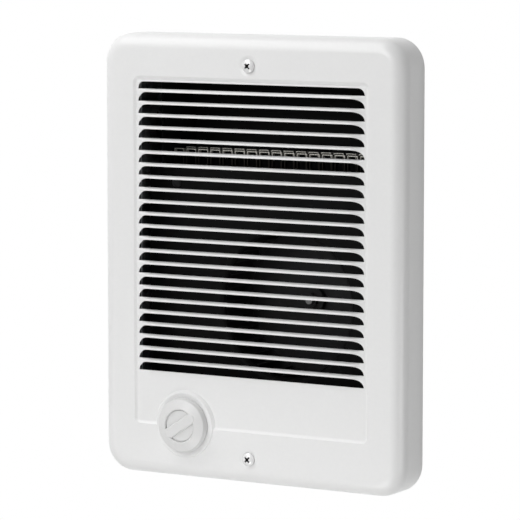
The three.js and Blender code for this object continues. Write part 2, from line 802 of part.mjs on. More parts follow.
function thermostatTerminal(side) {
  const x = knobX + side * thermostatWidth * 0.28;
  const half = terminalTabWidth / 2;
  const y0 = thermostatBackY - 9;
  const z0 = knobZ + thermostatHeight / 2 + gap;
  const blade = box([x - half, x + half], [y0, y0 + terminalTabSheet], [z0, z0 + 8]);
  const foot = box([x - half, x + half], [y0, y0 + 5], [z0, z0 + terminalTabSheet]);
  return blade.add(foot);
}

// ---- Heater plate ----

function heaterPlate() {
  const half = plateWidth / 2;
  const tab = plateTabWidth / 2;
  const tabBottom = -(canHeight / 2 - canSheet - gap);
  const outline = polygon([
    [-half, plateTop],
    [-half, plateBottom],
    [-tab, plateBottom],
    [-tab, tabBottom],
    [tab, tabBottom],
    [tab, plateBottom],
    [half, plateBottom],
    [half, plateTop],
  ]);
  let plate = sheet(outline, [plateFrontY, plateBackY]);
  const throughPlate = [plateFrontY - 1, plateBackY + 1];
  plate = plate.subtract(rodY(inletRadius + inletLip, throughPlate, blowerX, blowerZ, 32));
  // The inlet's lip rolls back towards the wheel in a quarter round.
  const lip = [];
  const steps = 3;
  const centreRadius = inletRadius + inletLip;
  const centreY = plateFrontY + inletLip;
  for (let step = 0; step <= steps; step += 1) {
    const angle = ((step / steps) * Math.PI) / 2;
    lip.push([centreRadius - inletLip * Math.sin(angle), centreY - inletLip * Math.cos(angle)]);
  }
  for (let step = steps; step >= 0; step -= 1) {
    const angle = ((step / steps) * Math.PI) / 2;
    const inner = inletLip - plateSheet;
    lip.push([centreRadius - inner * Math.sin(angle), centreY - inner * Math.cos(angle)]);
  }
  const overlap = 0.5;
  const skirt = [[centreRadius + overlap, plateFrontY], ...lip, [centreRadius + overlap, plateBackY]];
  skirt.push(skirt[0]);
  plate = plate.add(turned(skirt, blowerX, blowerZ, 32));
  const holes = [[0, -screwRise, grilleScrewRadius + looseHole]];
  for (const side of [-1, 1]) {
    holes.push([side * chassisScrewX, -screwRise, smallScrewRadius + gap]);
    holes.push([knobX + side * footScrewX, knobZ, smallScrewRadius + gap]);
    holes.push([side * ductScrewX, ductScrewZ, smallScrewRadius + gap]);
  }
  for (const [x, z, radius] of holes) {
    plate = plate.subtract(rodY(radius, throughPlate, x, z, 10));
  }
  return plate;
}

// ---- Blower ----

// The scroll's spiral: it opens steadily from the tongue, down the right and round to the left.
function scrollPoint(part, offset) {
  const angle = (tongueAngle - part * (180 + tongueAngle)) * degrees;
  const radius = tongueRadius + (scrollEndRadius - tongueRadius) * part + offset;
  return [blowerX + radius * Math.cos(angle), blowerZ + radius * Math.sin(angle)];
}

function scrollLine(offset) {
  const line = [];
  for (let step = 0; step <= scrollSteps; step += 1) {
    line.push(scrollPoint(step / scrollSteps, offset));
  }
  const [rightX] = line[0];
  const [leftX] = line[line.length - 1];
  return [[rightX, mouthTop], ...line, [leftX, mouthTop]];
}

function blowerHousing() {
  const inner = scrollLine(0);
  const outer = scrollLine(scrollSheet);
  const band = polygon([...outer, ...inner.reverse()]);
  const wall = sheet(band, [scrollFrontY, scrollBackY + scrollSheet / 2]);
  const back = sheet(polygon(outer), [scrollBackY, scrollBackY + scrollSheet]);
  const [rightX] = outer[0];
  const [leftX] = outer[outer.length - 1];
  const shelfSpan = [mouthTop - scrollSheet, mouthTop];
  const shelfDepth = [scrollFrontY, scrollBackY + scrollSheet];
  const shelves = [
    box([-ductHalf, leftX + scrollSheet / 2], shelfDepth, shelfSpan),
    box([rightX - scrollSheet / 2, ductHalf], shelfDepth, shelfSpan),
  ];
  const boss = rodY(bracketBossRadius + 1, [scrollBackY - 1, scrollBackY + 3], blowerX, blowerZ, 32);
  return unite([wall, back, ...shelves]).subtract(boss);
}

// The wheel turns clockwise seen from the front, and its blades curve forward at their tips.
function bladeOutline() {
  const outer = [];
  const inner = [];
  for (let step = 0; step <= bladeSteps; step += 1) {
    const part = step / bladeSteps;
    const radius = wheelEyeRadius + (wheelRadius - wheelEyeRadius - 0.2) * part;
    const lead = (bladeLead - bladeSweep * part * part) * degrees;
    const half = bladeSheet / 2 / radius;
    outer.push([radius * Math.cos(lead + half), radius * Math.sin(lead + half)]);
    inner.push([radius * Math.cos(lead - half), radius * Math.sin(lead - half)]);
  }
  return polygon([...outer, ...inner.reverse()]);
}

// The cage: blades between a front ring and a back ring.
function blowerWheel() {
  const inner = wheelRadius - wheelRingWidth;
  const frontSpan = [wheelFrontY, wheelFrontY + wheelRingDepth];
  const frontRing = turned(ringProfile(inner, wheelRadius + wheelRingLip, frontSpan), 0, 0, 40);
  const backSpan = [cageBackY - wheelSheet, cageBackY];
  const backRing = turned(ringProfile(wheelEyeRadius, wheelRadius, backSpan), 0, 0, 40);
  const blade = sheet(bladeOutline(), [wheelFrontY + 0.4, cageBackY - 0.4]);
  const blades = [];
  for (let index = 0; index < bladeCount; index += 1) {
    blades.push(blade.rotate([0, (360 / bladeCount) * index, 0]));
  }
  return unite([frontRing, backRing, ...blades]).translate([blowerX, 0, blowerZ]);
}

// The disc that carries the cage, with the hub that sits on the motor's shaft.
function wheelBackPlate() {
  const disc = rodY(wheelRadius, [wheelBackY - wheelSheet, wheelBackY], blowerX, blowerZ, 40);
  const hub = rodY(hubRadius, [hubFrontY, hubFrontY + hubLength], blowerX, blowerZ, 24);
  const bore = rodY(shaftRadius + gap, [hubFrontY - 1, hubFrontY + hubLength + 1], blowerX, blowerZ, 20);
  return disc.add(hub).subtract(bore);
}

function hubNut() {
  const hole = rodY(shaftRadius + gap, [hubNutSpan[0] - 1, hubNutSpan[1] + 1], blowerX, blowerZ, 20);
  return hexY(hubNutAcross, hubNutSpan, blowerX, blowerZ).subtract(hole);
}

// ---- Motor ----

const motorShaft = () => rodY(shaftRadius, [hubNutSpan[0] - shaftNose, shaftEndY], blowerX, blowerZ, 20);

function motorRotor() {
  const radius = poleBoreRadius - rotorAirGap;
  const body = rodY(radius, [stackFrontY, stackBackY], blowerX, blowerZ, 28);
  const ringSpan = [stackFrontY - rotorRingHeight, stackBackY + rotorRingHeight];
  const rings = rodY(radius - rotorRingInset, ringSpan, blowerX, blowerZ, 28);
  const boreSpan = [ringSpan[0] - 1, ringSpan[1] + 1];
  return body.add(rings).subtract(rodY(shaftRadius + gap, boreSpan, blowerX, blowerZ, 20));
}

// The laminated C frame: a pole block bored for the rotor, and a leg at the left that the coil sits on.
function motorStator() {
  const half = stackWidth / 2;
  const top = stackHeight / 2;
  const window = windowHeight / 2;
  const legLeft = -coilLegOffset - coilLegWidth / 2;
  const legRight = -coilLegOffset + coilLegWidth / 2;
  const outline = polygon([
    [legLeft, -top],
    [half, -top],
    [half, top],
    [legLeft, top],
  ]);
  const opening = new THREE.Path();
  opening.moveTo(legRight, -window);
  opening.lineTo(-half, -window);
  opening.lineTo(-half, window);
  opening.lineTo(legRight, window);
  opening.closePath();
  const bore = new THREE.Path();
  bore.absarc(0, 0, poleBoreRadius, 0, Math.PI * 2, true);
  outline.holes.push(opening, bore);
  let stack = sheet(outline, [stackFrontY, stackBackY], 14).translate([blowerX, 0, blowerZ]);
  for (const [x, z] of boltPlaces) {
    stack = stack.subtract(rodY(motorBoltRadius + gap, [stackFrontY - 1, stackBackY + 1], x, z, 10));
  }
  return stack;
}

// A rectangular tube round the coil's leg, with its corners rounded by the given radius.
function legTube(clear, build, radius, span) {
  const width = coilLegWidth + 2 * (clear + build);
  const depth = stackThickness + 2 * (clear + build);
  const outline = (w, d, r) => {
    const ring = roundedRing(w, d, r, 0, 0, 4);
    return polygon(ring.map((point) => [point.x, point.z]));
  };
  const length = span[1] - span[0];
  const settings = { depth: length, bevelEnabled: false };
  const outer = solid(new THREE.ExtrudeGeometry(outline(width, depth, radius), settings));
  const hole = outline(coilLegWidth + 2 * clear, stackThickness + 2 * clear, 0.3);
  const core = new THREE.ExtrudeGeometry(hole, { ...settings, depth: length + 2 });
  const inner = solid(core.translate(0, 0, -1));
  const middleY = (stackFrontY + stackBackY) / 2;
  return outer.subtract(inner).translate([coilLegX, middleY, span[0]]);
}

function coilBobbin() {
  const half = windowHeight / 2 - gap;
  const core = [blowerZ - half, blowerZ + half];
  const spool = legTube(gap, bobbinSheet, 1.2, core);
  const flangeBuild = bobbinSheet + coilBuild * 0.98;
  const low = legTube(gap, flangeBuild, 3, [core[0], core[0] + bobbinSheet]);
  const high = legTube(gap, flangeBuild, 3, [core[1] - bobbinSheet, core[1]]);
  return unite([spool, low, high]);
}

function motorCoil() {
  const half = windowHeight / 2 - 2 * gap - bobbinSheet;
  return legTube(2 * gap + bobbinSheet, coilBuild - 1.4, 5, [blowerZ - half, blowerZ + half]);
}

// A die cast bridge across the pole bore that carries one bearing.
function bearingBracket(side) {
  const face = side < 0 ? stackFrontY - gap : stackBackY + gap;
  const out = (distance) => face + side * distance;
  const start = side < 0 ? bearingFrontY : bearingBackY;
  const far = side < 0 ? start - 0.5 : start + bearingLength + 0.5;
  const reach = 2 * motorBoltOffset * Math.SQRT2;
  const arm = new THREE.BoxGeometry(reach, bracketThickness, bracketArmWidth);
  arm.rotateY(-Math.PI / 4).translate(blowerX, out(bracketStandoff + bracketThickness / 2), blowerZ);
  const pieces = [solid(arm)];
  pieces.push(rodY(bracketBossRadius, [out(bracketStandoff), far], blowerX, blowerZ, 18));
  const frontPost = scrollBackY + scrollSheet + motorNutThickness + 2 * gap;
  const postEnd = side < 0 ? frontPost : out(bracketStandoff + bracketThickness);
  for (const [x, z] of boltPlaces) {
    pieces.push(rodY(bracketPostRadius, [face, postEnd], x, z, 14));
  }
  let bracket = unite(pieces);
  const seatSpan = [out(bracketStandoff - 1), far + side];
  bracket = bracket.subtract(rodY(bearingRadius + gap, seatSpan, blowerX, blowerZ, 18));
  for (const [x, z] of boltPlaces) {
    bracket = bracket.subtract(rodY(motorBoltRadius + gap, [face - side, postEnd + side], x, z, 10));
  }
  return bracket;
}

function bearing(startY) {
  const profile = ringProfile(shaftRadius + gap, bearingRadius, [startY, startY + bearingLength]);
  return turned(profile, blowerX, blowerZ, 18);
}

function motorBolt([x, z]) {
  const headSeat = stackBackY + gap + bracketStandoff + bracketThickness + gap;
  const head = hexY(motorBoltAcross, [headSeat, headSeat + motorBoltHead], x, z);
  return head.add(rodY(motorBoltRadius, [scrollBackY + scrollSheet + gap, headSeat + 0.2], x, z, 10));
}

function motorNut([x, z]) {
  const start = scrollBackY + scrollSheet + gap;
  const hole = rodY(motorBoltRadius + gap, [start - 1, start + motorNutThickness + 1], x, z, 10);
  return hexY(motorNutAcross, [start, start + motorNutThickness], x, z).subtract(hole);
}

// ---- Outlet duct ----

// The duct turns the blown air forward: a curved back, two cheeks, and a lip behind the heater plate.
function outletDuct() {
  const inner = ductBackY;
  const outer = ductBackY + ductSheet;
  const bend = (radius, reverse) => {
    const points = [];
    for (let step = 0; step <= 8; step += 1) {
      const angle = ((reverse ? 8 - step : step) / 8) * (Math.PI / 2);
      const y = inner - ductBackRadius + radius * Math.cos(angle);
      const z = ductTop - ductBackRadius + radius * Math.sin(angle);
      points.push([y, z]);
    }
    return points;
  };
  const tabTop = canHeight / 2 - canSheet - gap;
  const inside = ductBackRadius - ductSheet;
  const skin = polygon([
    [outer, ductBottom],
    ...bend(ductBackRadius + ductSheet, false),
    [plateBackY, ductTop + ductSheet],
    [plateBackY, tabTop],
    [plateFrontY, tabTop],
    [plateFrontY, ductTop],
    ...bend(inside + ductSheet, true),
    [inner, ductBottom],
  ]);
  const back = section(skin, [-ductHalf, ductHalf]);
  const cheekOutline = polygon([
    [wallY, ductBottom],
    [inner + ductSheet / 2, ductBottom],
    ...bend(ductBackRadius + ductSheet / 2, false),
    [wallY, ductTop + ductSheet / 2],
  ]);
  const pieces = [back];
  for (const side of [-1, 1]) {
    const walls = [side * ductHalf, side * (ductHalf - ductSheet)].sort((a, b) => a - b);
    pieces.push(section(cheekOutline, walls));
  }
  pieces.push(box([-ductHalf, ductHalf], [wallY, wallY + ductSheet], [ductBottom, plateTop - 1]));
  let duct = unite(pieces);
  const beside = ductHalf + 1;
  const tab = plateTabWidth / 2;
  for (const side of [-1, 1]) {
    const trim = [side * tab, side * beside];
    duct = duct.subtract(box(trim, [plateFrontY - 1, plateBackY + 0.001], [ductTop - 1, tabTop + 1]));
    duct = duct.subtract(
      rodY(smallScrewRadius + gap, [plateFrontY - 1, plateBackY + 1], side * chassisScrewX, screwRise, 10),
    );
    const lipSpan = [wallY - 1, wallY + ductSheet + 1];
    duct = duct.subtract(rodY(smallScrewRadius + gap, lipSpan, side * ductScrewX, ductScrewZ, 10));
    const wall = [side * (ductHalf + 1), side * (ductHalf - ductSheet - 1)];
    duct = duct.subtract(rodX(bushNeckRadius + gap, wall, terminalY, terminalZ, 16));
    for (const middle of [frontRibbonY, rearRibbonY]) {
      const slotY = [middle - micaWidth / 2 - gap, middle + micaWidth / 2 + gap];
      duct = duct.subtract(box(wall, slotY, [micaZ - gap, micaZ + micaThickness + gap]));
    }
  }
  const tabSpan = [plateFrontY - 1, plateBackY + 1];
  duct = duct.subtract(rodY(grilleScrewRadius + looseHole, tabSpan, 0, screwRise, 10));
  const limitWall = [ductHalf - ductSheet - 1, ductHalf + 1];
  duct = duct.subtract(rodX(limitRadius - 2, limitWall, limitY, limitZ, 20));
  for (const side of [-1, 1]) {
    const z = limitZ + side * limitScrewRise;
    duct = duct.subtract(rodX(smallScrewRadius + gap, limitWall, limitY, z, 10));
  }
  return duct;
}

const chassisScrew = (sideX, sideZ) =>
  plateScrew(sideX * chassisScrewX, sideZ * screwRise, plateFrontY - gap, flangeInnerY);
const ductScrew = (side) => plateScrew(side * ductScrewX, ductScrewZ, plateFrontY - gap, wallY + ductSheet);

// ---- Element ----

// The ribbon's middle line: crests above the mica, short hooks under it, and a long leg at each end.
function ribbonLine() {
  const half = ribbonThickness / 2;
  const high = ribbonTop - half;
  const low = ribbonLowZ + half;
  const end = terminalZ - terminalBarHeight / 2 + 1;
  const line = [[firstCrestX - legOffset, end]];
  for (let crest = 0; crest < ribbonCrests; crest += 1) {
    const x = firstCrestX + crest * ribbonPitch;
    if (crest > 0) line.push([x - legOffset, low]);
    line.push([x - legOffset, high], [x + legOffset, high]);
    line.push([x + legOffset, crest < ribbonCrests - 1 ? low : end]);
  }
  return line;
}

// Both sides of a line that turns only in right angles, as one closed outline.
function ribbonOutline(line, half) {
  const step = (from, to) => [Math.sign(to[0] - from[0]), Math.sign(to[1] - from[1])];
  const side = (sign) =>
    line.map(([x, z], i) => {
      const into = i > 0 ? step(line[i - 1], line[i]) : [0, 0];
      const out = i < line.length - 1 ? step(line[i], line[i + 1]) : [0, 0];
      return [x - sign * half * (into[1] + out[1]), z + sign * half * (into[0] + out[0])];
    });
  return polygon([...side(1), ...side(-1).reverse()]);
}

function elementRibbon(middleY) {
  const outline = ribbonOutline(ribbonLine(), ribbonThickness / 2);
  return sheet(outline, [middleY - ribbonWidth / 2, middleY + ribbonWidth / 2]);
}

function micaStrip(middleY) {
  const half = ductHalf + 2;
  let strip = box(
    [-half, half],
    [middleY - micaWidth / 2, middleY + micaWidth / 2],
    [micaZ, micaZ + micaThickness],
  );
  // One slot for each crest: the ribbon's hooks close under the bridges that the slots leave.
  const slotReach = ribbonCrestWidth / 2 + gap;
  const slotY = [middleY - ribbonWidth / 2 - gap, middleY + ribbonWidth / 2 + gap];
  for (let crest = 0; crest < ribbonCrests; crest += 1) {
    const x = firstCrestX + crest * ribbonPitch;
    const slot = box([x - slotReach, x + slotReach], slotY, [micaZ - 1, micaZ + micaThickness + 1]);
    strip = strip.subtract(slot);
  }
  return strip;
}

// A brass bar that both ribbons end on, with the stud that carries the current through the duct's cheek.
function terminalBar(side) {
  const face = outerLegFace + gap;
  const back = face + terminalBarThickness;
  const depth = [frontRibbonY - ribbonWidth / 2 - 1, rearRibbonY + ribbonWidth / 2 + 1];
  const bar = box([side * face, side * back], depth, [ribbonLowZ - terminalBarHeight, ribbonLowZ - 0.6]);
  const studEnd = ductHalf + bushNeckLength + nutThickness + 2;
  return bar.add(rodX(terminalStudRadius, [side * (back - 0.5), side * studEnd], terminalY, terminalZ, 10));
}

function terminalBush(side) {
  const flangeStart = outerLegFace + terminalBarThickness + 2 * gap;
  const wallFace = ductHalf - ductSheet - gap;
  const flange = rodX(bushFlangeRadius, [side * flangeStart, side * wallFace], terminalY, terminalZ, 16);
  const neckSpan = [side * (flangeStart + 0.5), side * (ductHalf + bushNeckLength)];
  const neck = rodX(bushNeckRadius, neckSpan, terminalY, terminalZ, 16);
  const bore = rodX(
    terminalStudRadius + gap,
    [side * (flangeStart - 1), side * (ductHalf + bushNeckLength + 1)],
    terminalY,
    terminalZ,
    16,
  );
  return flange.add(neck).subtract(bore);
}

function terminalNut(side) {
  const start = ductHalf + bushNeckLength + gap;
  const span = [side * start, side * (start + nutThickness)];
  const holeSpan = [side * (start - 1), side * (start + nutThickness + 1)];
  const hole = rodX(terminalStudRadius + gap, holeSpan, terminalY, terminalZ, 10);
  return hexX(7, span, terminalY, terminalZ).subtract(hole);
}

// ---- Thermal limit ----

// A disc limit in its flanged cap, bolted over a window in the duct's right cheek.
function thermalLimit() {
  const start = ductHalf + gap;
  const half = limitFlangeLength / 2;
  const wide = limitFlangeWidth / 2;
  const flangeSpan = [start, start + limitFlangeSheet];
  const flange = box(flangeSpan, [limitY - wide, limitY + wide], [limitZ - half, limitZ + half]);
  const cap = rodX(limitRadius, [start, start + limitHeight], limitY, limitZ, 28);
  const sensor = rodX(limitRadius - 3, [ductHalf - ductSheet, start + 1], limitY, limitZ, 20);
  let limit = unite([flange, cap, sensor]);
  const tabHalf = terminalTabWidth / 2;
  const tabSpan = [start + limitHeight - 1, start + limitHeight + limitTabReach];
  for (const side of [-1, 1]) {
    const z = limitZ + side * limitScrewRise;
    const holeSpan = [start - 1, start + limitFlangeSheet + 1];
    limit = limit.subtract(rodX(smallScrewRadius + gap, holeSpan, limitY, z, 10));
    const middle = limitY + side * limitTabOffset;
    const tab = [middle - terminalTabSheet / 2, middle + terminalTabSheet / 2];
    limit = limit.add(box(tabSpan, tab, [limitZ - tabHalf, limitZ + tabHalf]));
  }
  return limit;
}

function limitScrew(side) {
  const seat = ductHalf + 2 * gap + limitFlangeSheet;
  const z = limitZ + side * limitScrewRise;
  const head = rodX(2.7, [seat, seat + 1.6], limitY, z, 10);
  return head.add(rodX(smallScrewRadius, [ductHalf - ductSheet - 2, seat + 0.2], limitY, z, 10));
}

// ---- Every piece in its place ----

place("wall_can", wallCan(), "galvanised");
place("cable_clamp", cableClamp(), "galvanised");
place("cable_clamp_screw", clampScrew(), "plated");
place("ground_screw", groundScrew(), "green");

place("grille", grille(), "white");
place("grille_screw_top", grilleScrew(1), "plated");
place("grille_screw_bottom", grilleScrew(-1), "plated");

place("thermostat_knob", knob(), "knobPlastic");
place("thermostat_shaft", thermostatShaft(), "brass");
place("thermostat_body", thermostatBody(), "phenolic");
place("thermostat_nut", thermostatNut(), "plated");
place("thermostat_bracket", thermostatBracket(), "galvanised");
place("thermostat_bracket_screw_left", bracketScrew(-1), "plated");
place("thermostat_bracket_screw_right", bracketScrew(1), "plated");
place("thermostat_terminal_line", thermostatTerminal(-1), "brass");
place("thermostat_terminal_load", thermostatTerminal(1), "brass");

place("heater_plate", heaterPlate(), "black");
place("chassis_screw_top_left", chassisScrew(-1, 1), "plated");
place("chassis_screw_top_right", chassisScrew(1, 1), "plated");
place("chassis_screw_bottom_left", chassisScrew(-1, -1), "plated");
place("chassis_screw_bottom_right", chassisScrew(1, -1), "plated");

place("blower_housing", blowerHousing(), "galvanised");
place("blower_wheel", blowerWheel(), "galvanised");
place("wheel_back_plate", wheelBackPlate(), "galvanised");
place("hub_nut", hubNut(), "plated");
place("motor_shaft", motorShaft(), "steel");
place("motor_rotor", motorRotor(), "steel");
place("motor_stator", motorStator(), "lamination");
place("coil_bobbin", coilBobbin(), "nylon");
place("motor_coil", motorCoil(), "copper");
place("bearing_bracket_front", bearingBracket(-1), "plated");
place("bearing_bracket_rear", bearingBracket(1), "plated");
place("bearing_front", bearing(bearingFrontY), "bronze");
place("bearing_rear", bearing(bearingBackY), "bronze");
boltPlaces.forEach((spot, index) => {
  const side = index === 0 ? "upper" : "lower";
  place(`motor_bolt_${side}`, motorBolt(spot), "plated");
  place(`motor_nut_${side}`, motorNut(spot), "plated");
});

place("outlet_duct", outletDuct(), "galvanised");
place("duct_screw_left", ductScrew(-1), "plated");
place("duct_screw_right", ductScrew(1), "plated");
place("mica_strip_front", micaStrip(frontRibbonY), "mica");
place("mica_strip_rear", micaStrip(rearRibbonY), "mica");
place("element_ribbon_front", elementRibbon(frontRibbonY), "nichrome");
place("element_ribbon_rear", elementRibbon(rearRibbonY), "nichrome");
for (const [name, side] of [["left", -1], ["right", 1]]) {
  place(`terminal_bar_${name}`, terminalBar(side), "brass");
  place(`terminal_bush_${name}`, terminalBush(side), "ceramic");
  place(`terminal_nut_${name}`, terminalNut(side), "plated");
}
place("thermal_limit", thermalLimit(), "steel");
place("limit_screw_upper", limitScrew(1), "plated");
place("limit_screw_lower", limitScrew(-1), "plated");

export default heater;
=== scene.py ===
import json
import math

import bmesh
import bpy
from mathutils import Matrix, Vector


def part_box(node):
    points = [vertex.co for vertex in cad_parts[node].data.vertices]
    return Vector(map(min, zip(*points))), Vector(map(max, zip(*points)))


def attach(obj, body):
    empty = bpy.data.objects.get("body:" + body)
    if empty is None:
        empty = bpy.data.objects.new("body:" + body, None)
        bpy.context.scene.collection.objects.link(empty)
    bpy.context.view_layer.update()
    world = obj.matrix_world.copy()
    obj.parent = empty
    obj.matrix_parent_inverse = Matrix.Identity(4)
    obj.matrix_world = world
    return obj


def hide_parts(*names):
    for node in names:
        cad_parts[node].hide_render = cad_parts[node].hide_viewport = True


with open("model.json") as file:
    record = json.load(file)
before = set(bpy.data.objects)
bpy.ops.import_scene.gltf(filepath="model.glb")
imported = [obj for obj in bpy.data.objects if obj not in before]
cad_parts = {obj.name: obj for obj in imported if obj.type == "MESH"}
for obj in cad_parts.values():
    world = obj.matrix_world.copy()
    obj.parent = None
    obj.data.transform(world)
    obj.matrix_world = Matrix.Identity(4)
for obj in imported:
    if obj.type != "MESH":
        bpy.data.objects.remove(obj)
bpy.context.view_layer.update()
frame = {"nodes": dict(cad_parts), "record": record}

# %% [markdown]
# # A bathroom wall fan heater
# The heater sits in a wall. What people see is its white steel grille: a shallow stamped pan with rounded
# edges, 24 slots under drawn hoods, a thermostat knob and two screws. The steel can, the blower and the
# heating element are behind it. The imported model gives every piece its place, so this lesson keeps the
# inner pieces as they are, gives them finishes, and models the visible front again in finer mesh.
# Everything is in metres, +Z is up and the grille faces -Y.

mm = 0.001
grille_low, grille_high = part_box("grille")
can_low, can_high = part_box("wall_can")
knob_low, knob_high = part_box("thermostat_knob")
front_depth = 30.0 * mm
wall_y = can_low[1]
front_y = wall_y - front_depth
grille_width = grille_high[0] - grille_low[0]
grille_height = grille_high[2] - grille_low[2]
grille_centre_z = (grille_high[2] + grille_low[2]) / 2
print("grille", round(grille_width, 4), "wide,", round(grille_height, 4), "high, front at", round(front_y, 4))

# %% [markdown]
# ## The camera
# The photograph was taken with a long lens from the right and slightly above. The straight edges of the
# grille and the even pitch of the louvres gave the angles, the distance and the lens. The frame is square,
# 520 by 520 pixels.

# %% Camera
def add_camera(target, azimuth, elevation, distance, lens):
    away = Vector((
        math.sin(azimuth) * math.cos(elevation),
        -math.cos(azimuth) * math.cos(elevation),
        math.sin(elevation),
    ))
    data = bpy.data.cameras.new("photo_camera")
    data.sensor_fit = "HORIZONTAL"
    data.sensor_width = 36
    data.lens = lens
    data.clip_end = 50
    camera = bpy.data.objects.new("photo_camera", data)
    bpy.context.scene.collection.objects.link(camera)
    camera.location = Vector(target) + away * distance
    camera.rotation_euler = away.to_track_quat("Z", "Y").to_euler()
    bpy.context.scene.camera = camera
    return camera


camera = add_camera(
    target=(9.02 * mm, front_y, 3.37 * mm),
    azimuth=math.radians(30.159),
    elevation=math.radians(6.373),
    distance=2141 * mm,
    lens=220.07,
)
print("camera at", [round(v, 3) for v in camera.location])

# %% [markdown]
# ## Working by hand, in code
# Each new piece starts as a primitive and is shaped in edit mode. An operator works on what is selected,
# so these helpers clear the selection, open a piece for editing, pick faces, edges or points by their
# place, and apply a modifier when the shape is done.

# %% Helpers for selecting and editing
def clear_selection():
    if bpy.context.object and bpy.context.object.mode != "OBJECT":
        bpy.ops.object.mode_set(mode="OBJECT")
    bpy.ops.object.select_all(action="DESELECT")


def make_active(piece):
    clear_selection()
    piece.select_set(True)
    bpy.context.view_layer.objects.active = piece


def new_piece(name):
    piece = bpy.context.object
    piece.name = name
    piece.data.name = name
    return piece


def open_edit(piece, kind="FACE"):
    make_active(piece)
    bpy.ops.object.mode_set(mode="EDIT")
    bpy.ops.mesh.select_mode(type=kind)


def close_edit():
    bpy.ops.object.mode_set(mode="OBJECT")


def pick(piece, faces=None, edges=None, points=None):
    mesh = bmesh.from_edit_mesh(piece.data)
    for group in (mesh.verts, mesh.edges, mesh.faces):
        for element in group:
            element.select_set(False)
    count = 0
    if faces:
        for face in mesh.faces:
            if faces(face.calc_center_median(), face.normal):
                face.select_set(True)
                count += 1
    if edges:
        for edge in mesh.edges:
            if edges(edge.verts[0].co, edge.verts[1].co):
                edge.select_set(True)
                count += 1
    if points:
        for point in mesh.verts:
            if points(point.co):
                point.select_set(True)
                count += 1
    bmesh.update_edit_mesh(piece.data)
    return count


def near(a, b, limit=1e-5):
    return abs(a - b) < limit


print("ready to select and edit")

# %% Helpers for finishing a piece
def finish_with(piece, kind, name, **settings):
    make_active(piece)
    modifier = piece.modifiers.new(name, kind)
    for key, value in settings.items():
        setattr(modifier, key, value)
    bpy.ops.object.modifier_apply(modifier=name)


def place_in_mesh(piece):
    make_active(piece)
    bpy.ops.object.transform_apply(location=True, rotation=True, scale=True)


def join(main, others):
    make_active(main)
    for other in others:
        other.select_set(True)
    bpy.ops.object.join()
    return main


def face_outwards(piece):
    open_edit(piece)
    bpy.ops.mesh.select_all(action="SELECT")
    bpy.ops.mesh.remove_doubles(threshold=1e-6)
    bpy.ops.mesh.normals_make_consistent(inside=False)
    close_edit()


def smooth(piece, degrees=35):
    make_active(piece)
    bpy.ops.object.shade_smooth_by_angle(angle=math.radians(degrees))
    finish_with(piece, "WEIGHTED_NORMAL", "even_light", mode="FACE_AREA", weight=100, keep_sharp=True)


def triangles(piece):
    piece.data.calc_loop_triangles()
    return len(piece.data.loop_triangles)


print("ready to finish, join and smooth")

# %% [markdown]
# ## A turned piece
# The knob, its boss, the dimples and the screw heads are round about an axis that runs front to back.
# By hand, one point is drawn out into a profile and spun about that axis. The loop closes on itself, so
# doubles are merged and the normals are turned outwards.

# %% Helper for turned pieces
def turned_piece(name, profile, centre_x, centre_z, steps=64):
    clear_selection()
    bpy.ops.mesh.primitive_plane_add(size=mm, location=(0, 0, 0))
    piece = new_piece(name)
    bpy.ops.object.mode_set(mode="EDIT")
    bpy.ops.mesh.select_mode(type="VERT")
    bpy.ops.mesh.select_all(action="SELECT")
    bpy.ops.mesh.merge(type="CENTER")
    radius, depth = profile[0]
    bpy.ops.transform.translate(value=(centre_x + radius, depth, centre_z))
    for next_radius, next_depth in profile[1:]:
        step = (next_radius - radius, next_depth - depth, 0)
        bpy.ops.mesh.extrude_region_move(TRANSFORM_OT_translate={"value": step})
        radius, depth = next_radius, next_depth
    bpy.ops.mesh.select_all(action="SELECT")
    bpy.ops.mesh.spin(steps=steps, angle=math.tau, center=(centre_x, 0, centre_z), axis=(0, 1, 0))
    close_edit()
    face_outwards(piece)
    return piece


def arc(centre, radius, start, end, steps):
    points = []
    for step in range(steps + 1):
        angle = math.radians(start + (end - start) * step / steps)
        points.append((centre[0] + radius * math.cos(angle), centre[1] + radius * math.sin(angle)))
    return points


print("a turned piece is one profile, spun")

# %% [markdown]
# ## The grille's pan
# The real grille is one sheet of steel pressed into a shallow tray: its corners are rounded, and its front
# edge rolls back to the wall in a quarter round. A cube with its back face taken off is the quickest
# start. The four corner edges are bevelled first, then the front's edge all the way round.

# %% Pan
corner_radius = 20 * mm
corner_steps = 12
edge_radius = 10 * mm
edge_steps = 10
sheet = 1.0 * mm
back_y = grille_high[1]
clear_selection()
bpy.ops.mesh.primitive_cube_add(size=1, location=(0, (front_y + back_y) / 2, grille_centre_z))
pan = new_piece("grille_front")
pan.scale = (grille_width, back_y - front_y, grille_height)
place_in_mesh(pan)
open_edit(pan)
pick(pan, faces=lambda c, n: near(c.y, back_y))
bpy.ops.mesh.delete(type="FACE")
bpy.ops.mesh.select_mode(type="EDGE")
pick(pan, edges=lambda a, b: abs(a.y - b.y) > 0.01)
bpy.ops.mesh.bevel(offset=corner_radius, segments=corner_steps, affect="EDGES", clamp_overlap=False)
pick(pan, edges=lambda a, b: near(a.y, front_y) and near(b.y, front_y))
bpy.ops.mesh.bevel(offset=edge_radius, segments=edge_steps, affect="EDGES", clamp_overlap=False)
bpy.ops.mesh.select_mode(type="FACE")
front_faces = pick(pan, faces=lambda c, n: near(c.y, front_y) and n.y < -0.99 and abs(c.x) < 0.05)
bpy.ops.mesh.delete(type="ONLY_FACE")
close_edit()
print("pan", len(pan.data.vertices), "points,", front_faces, "front face opened")
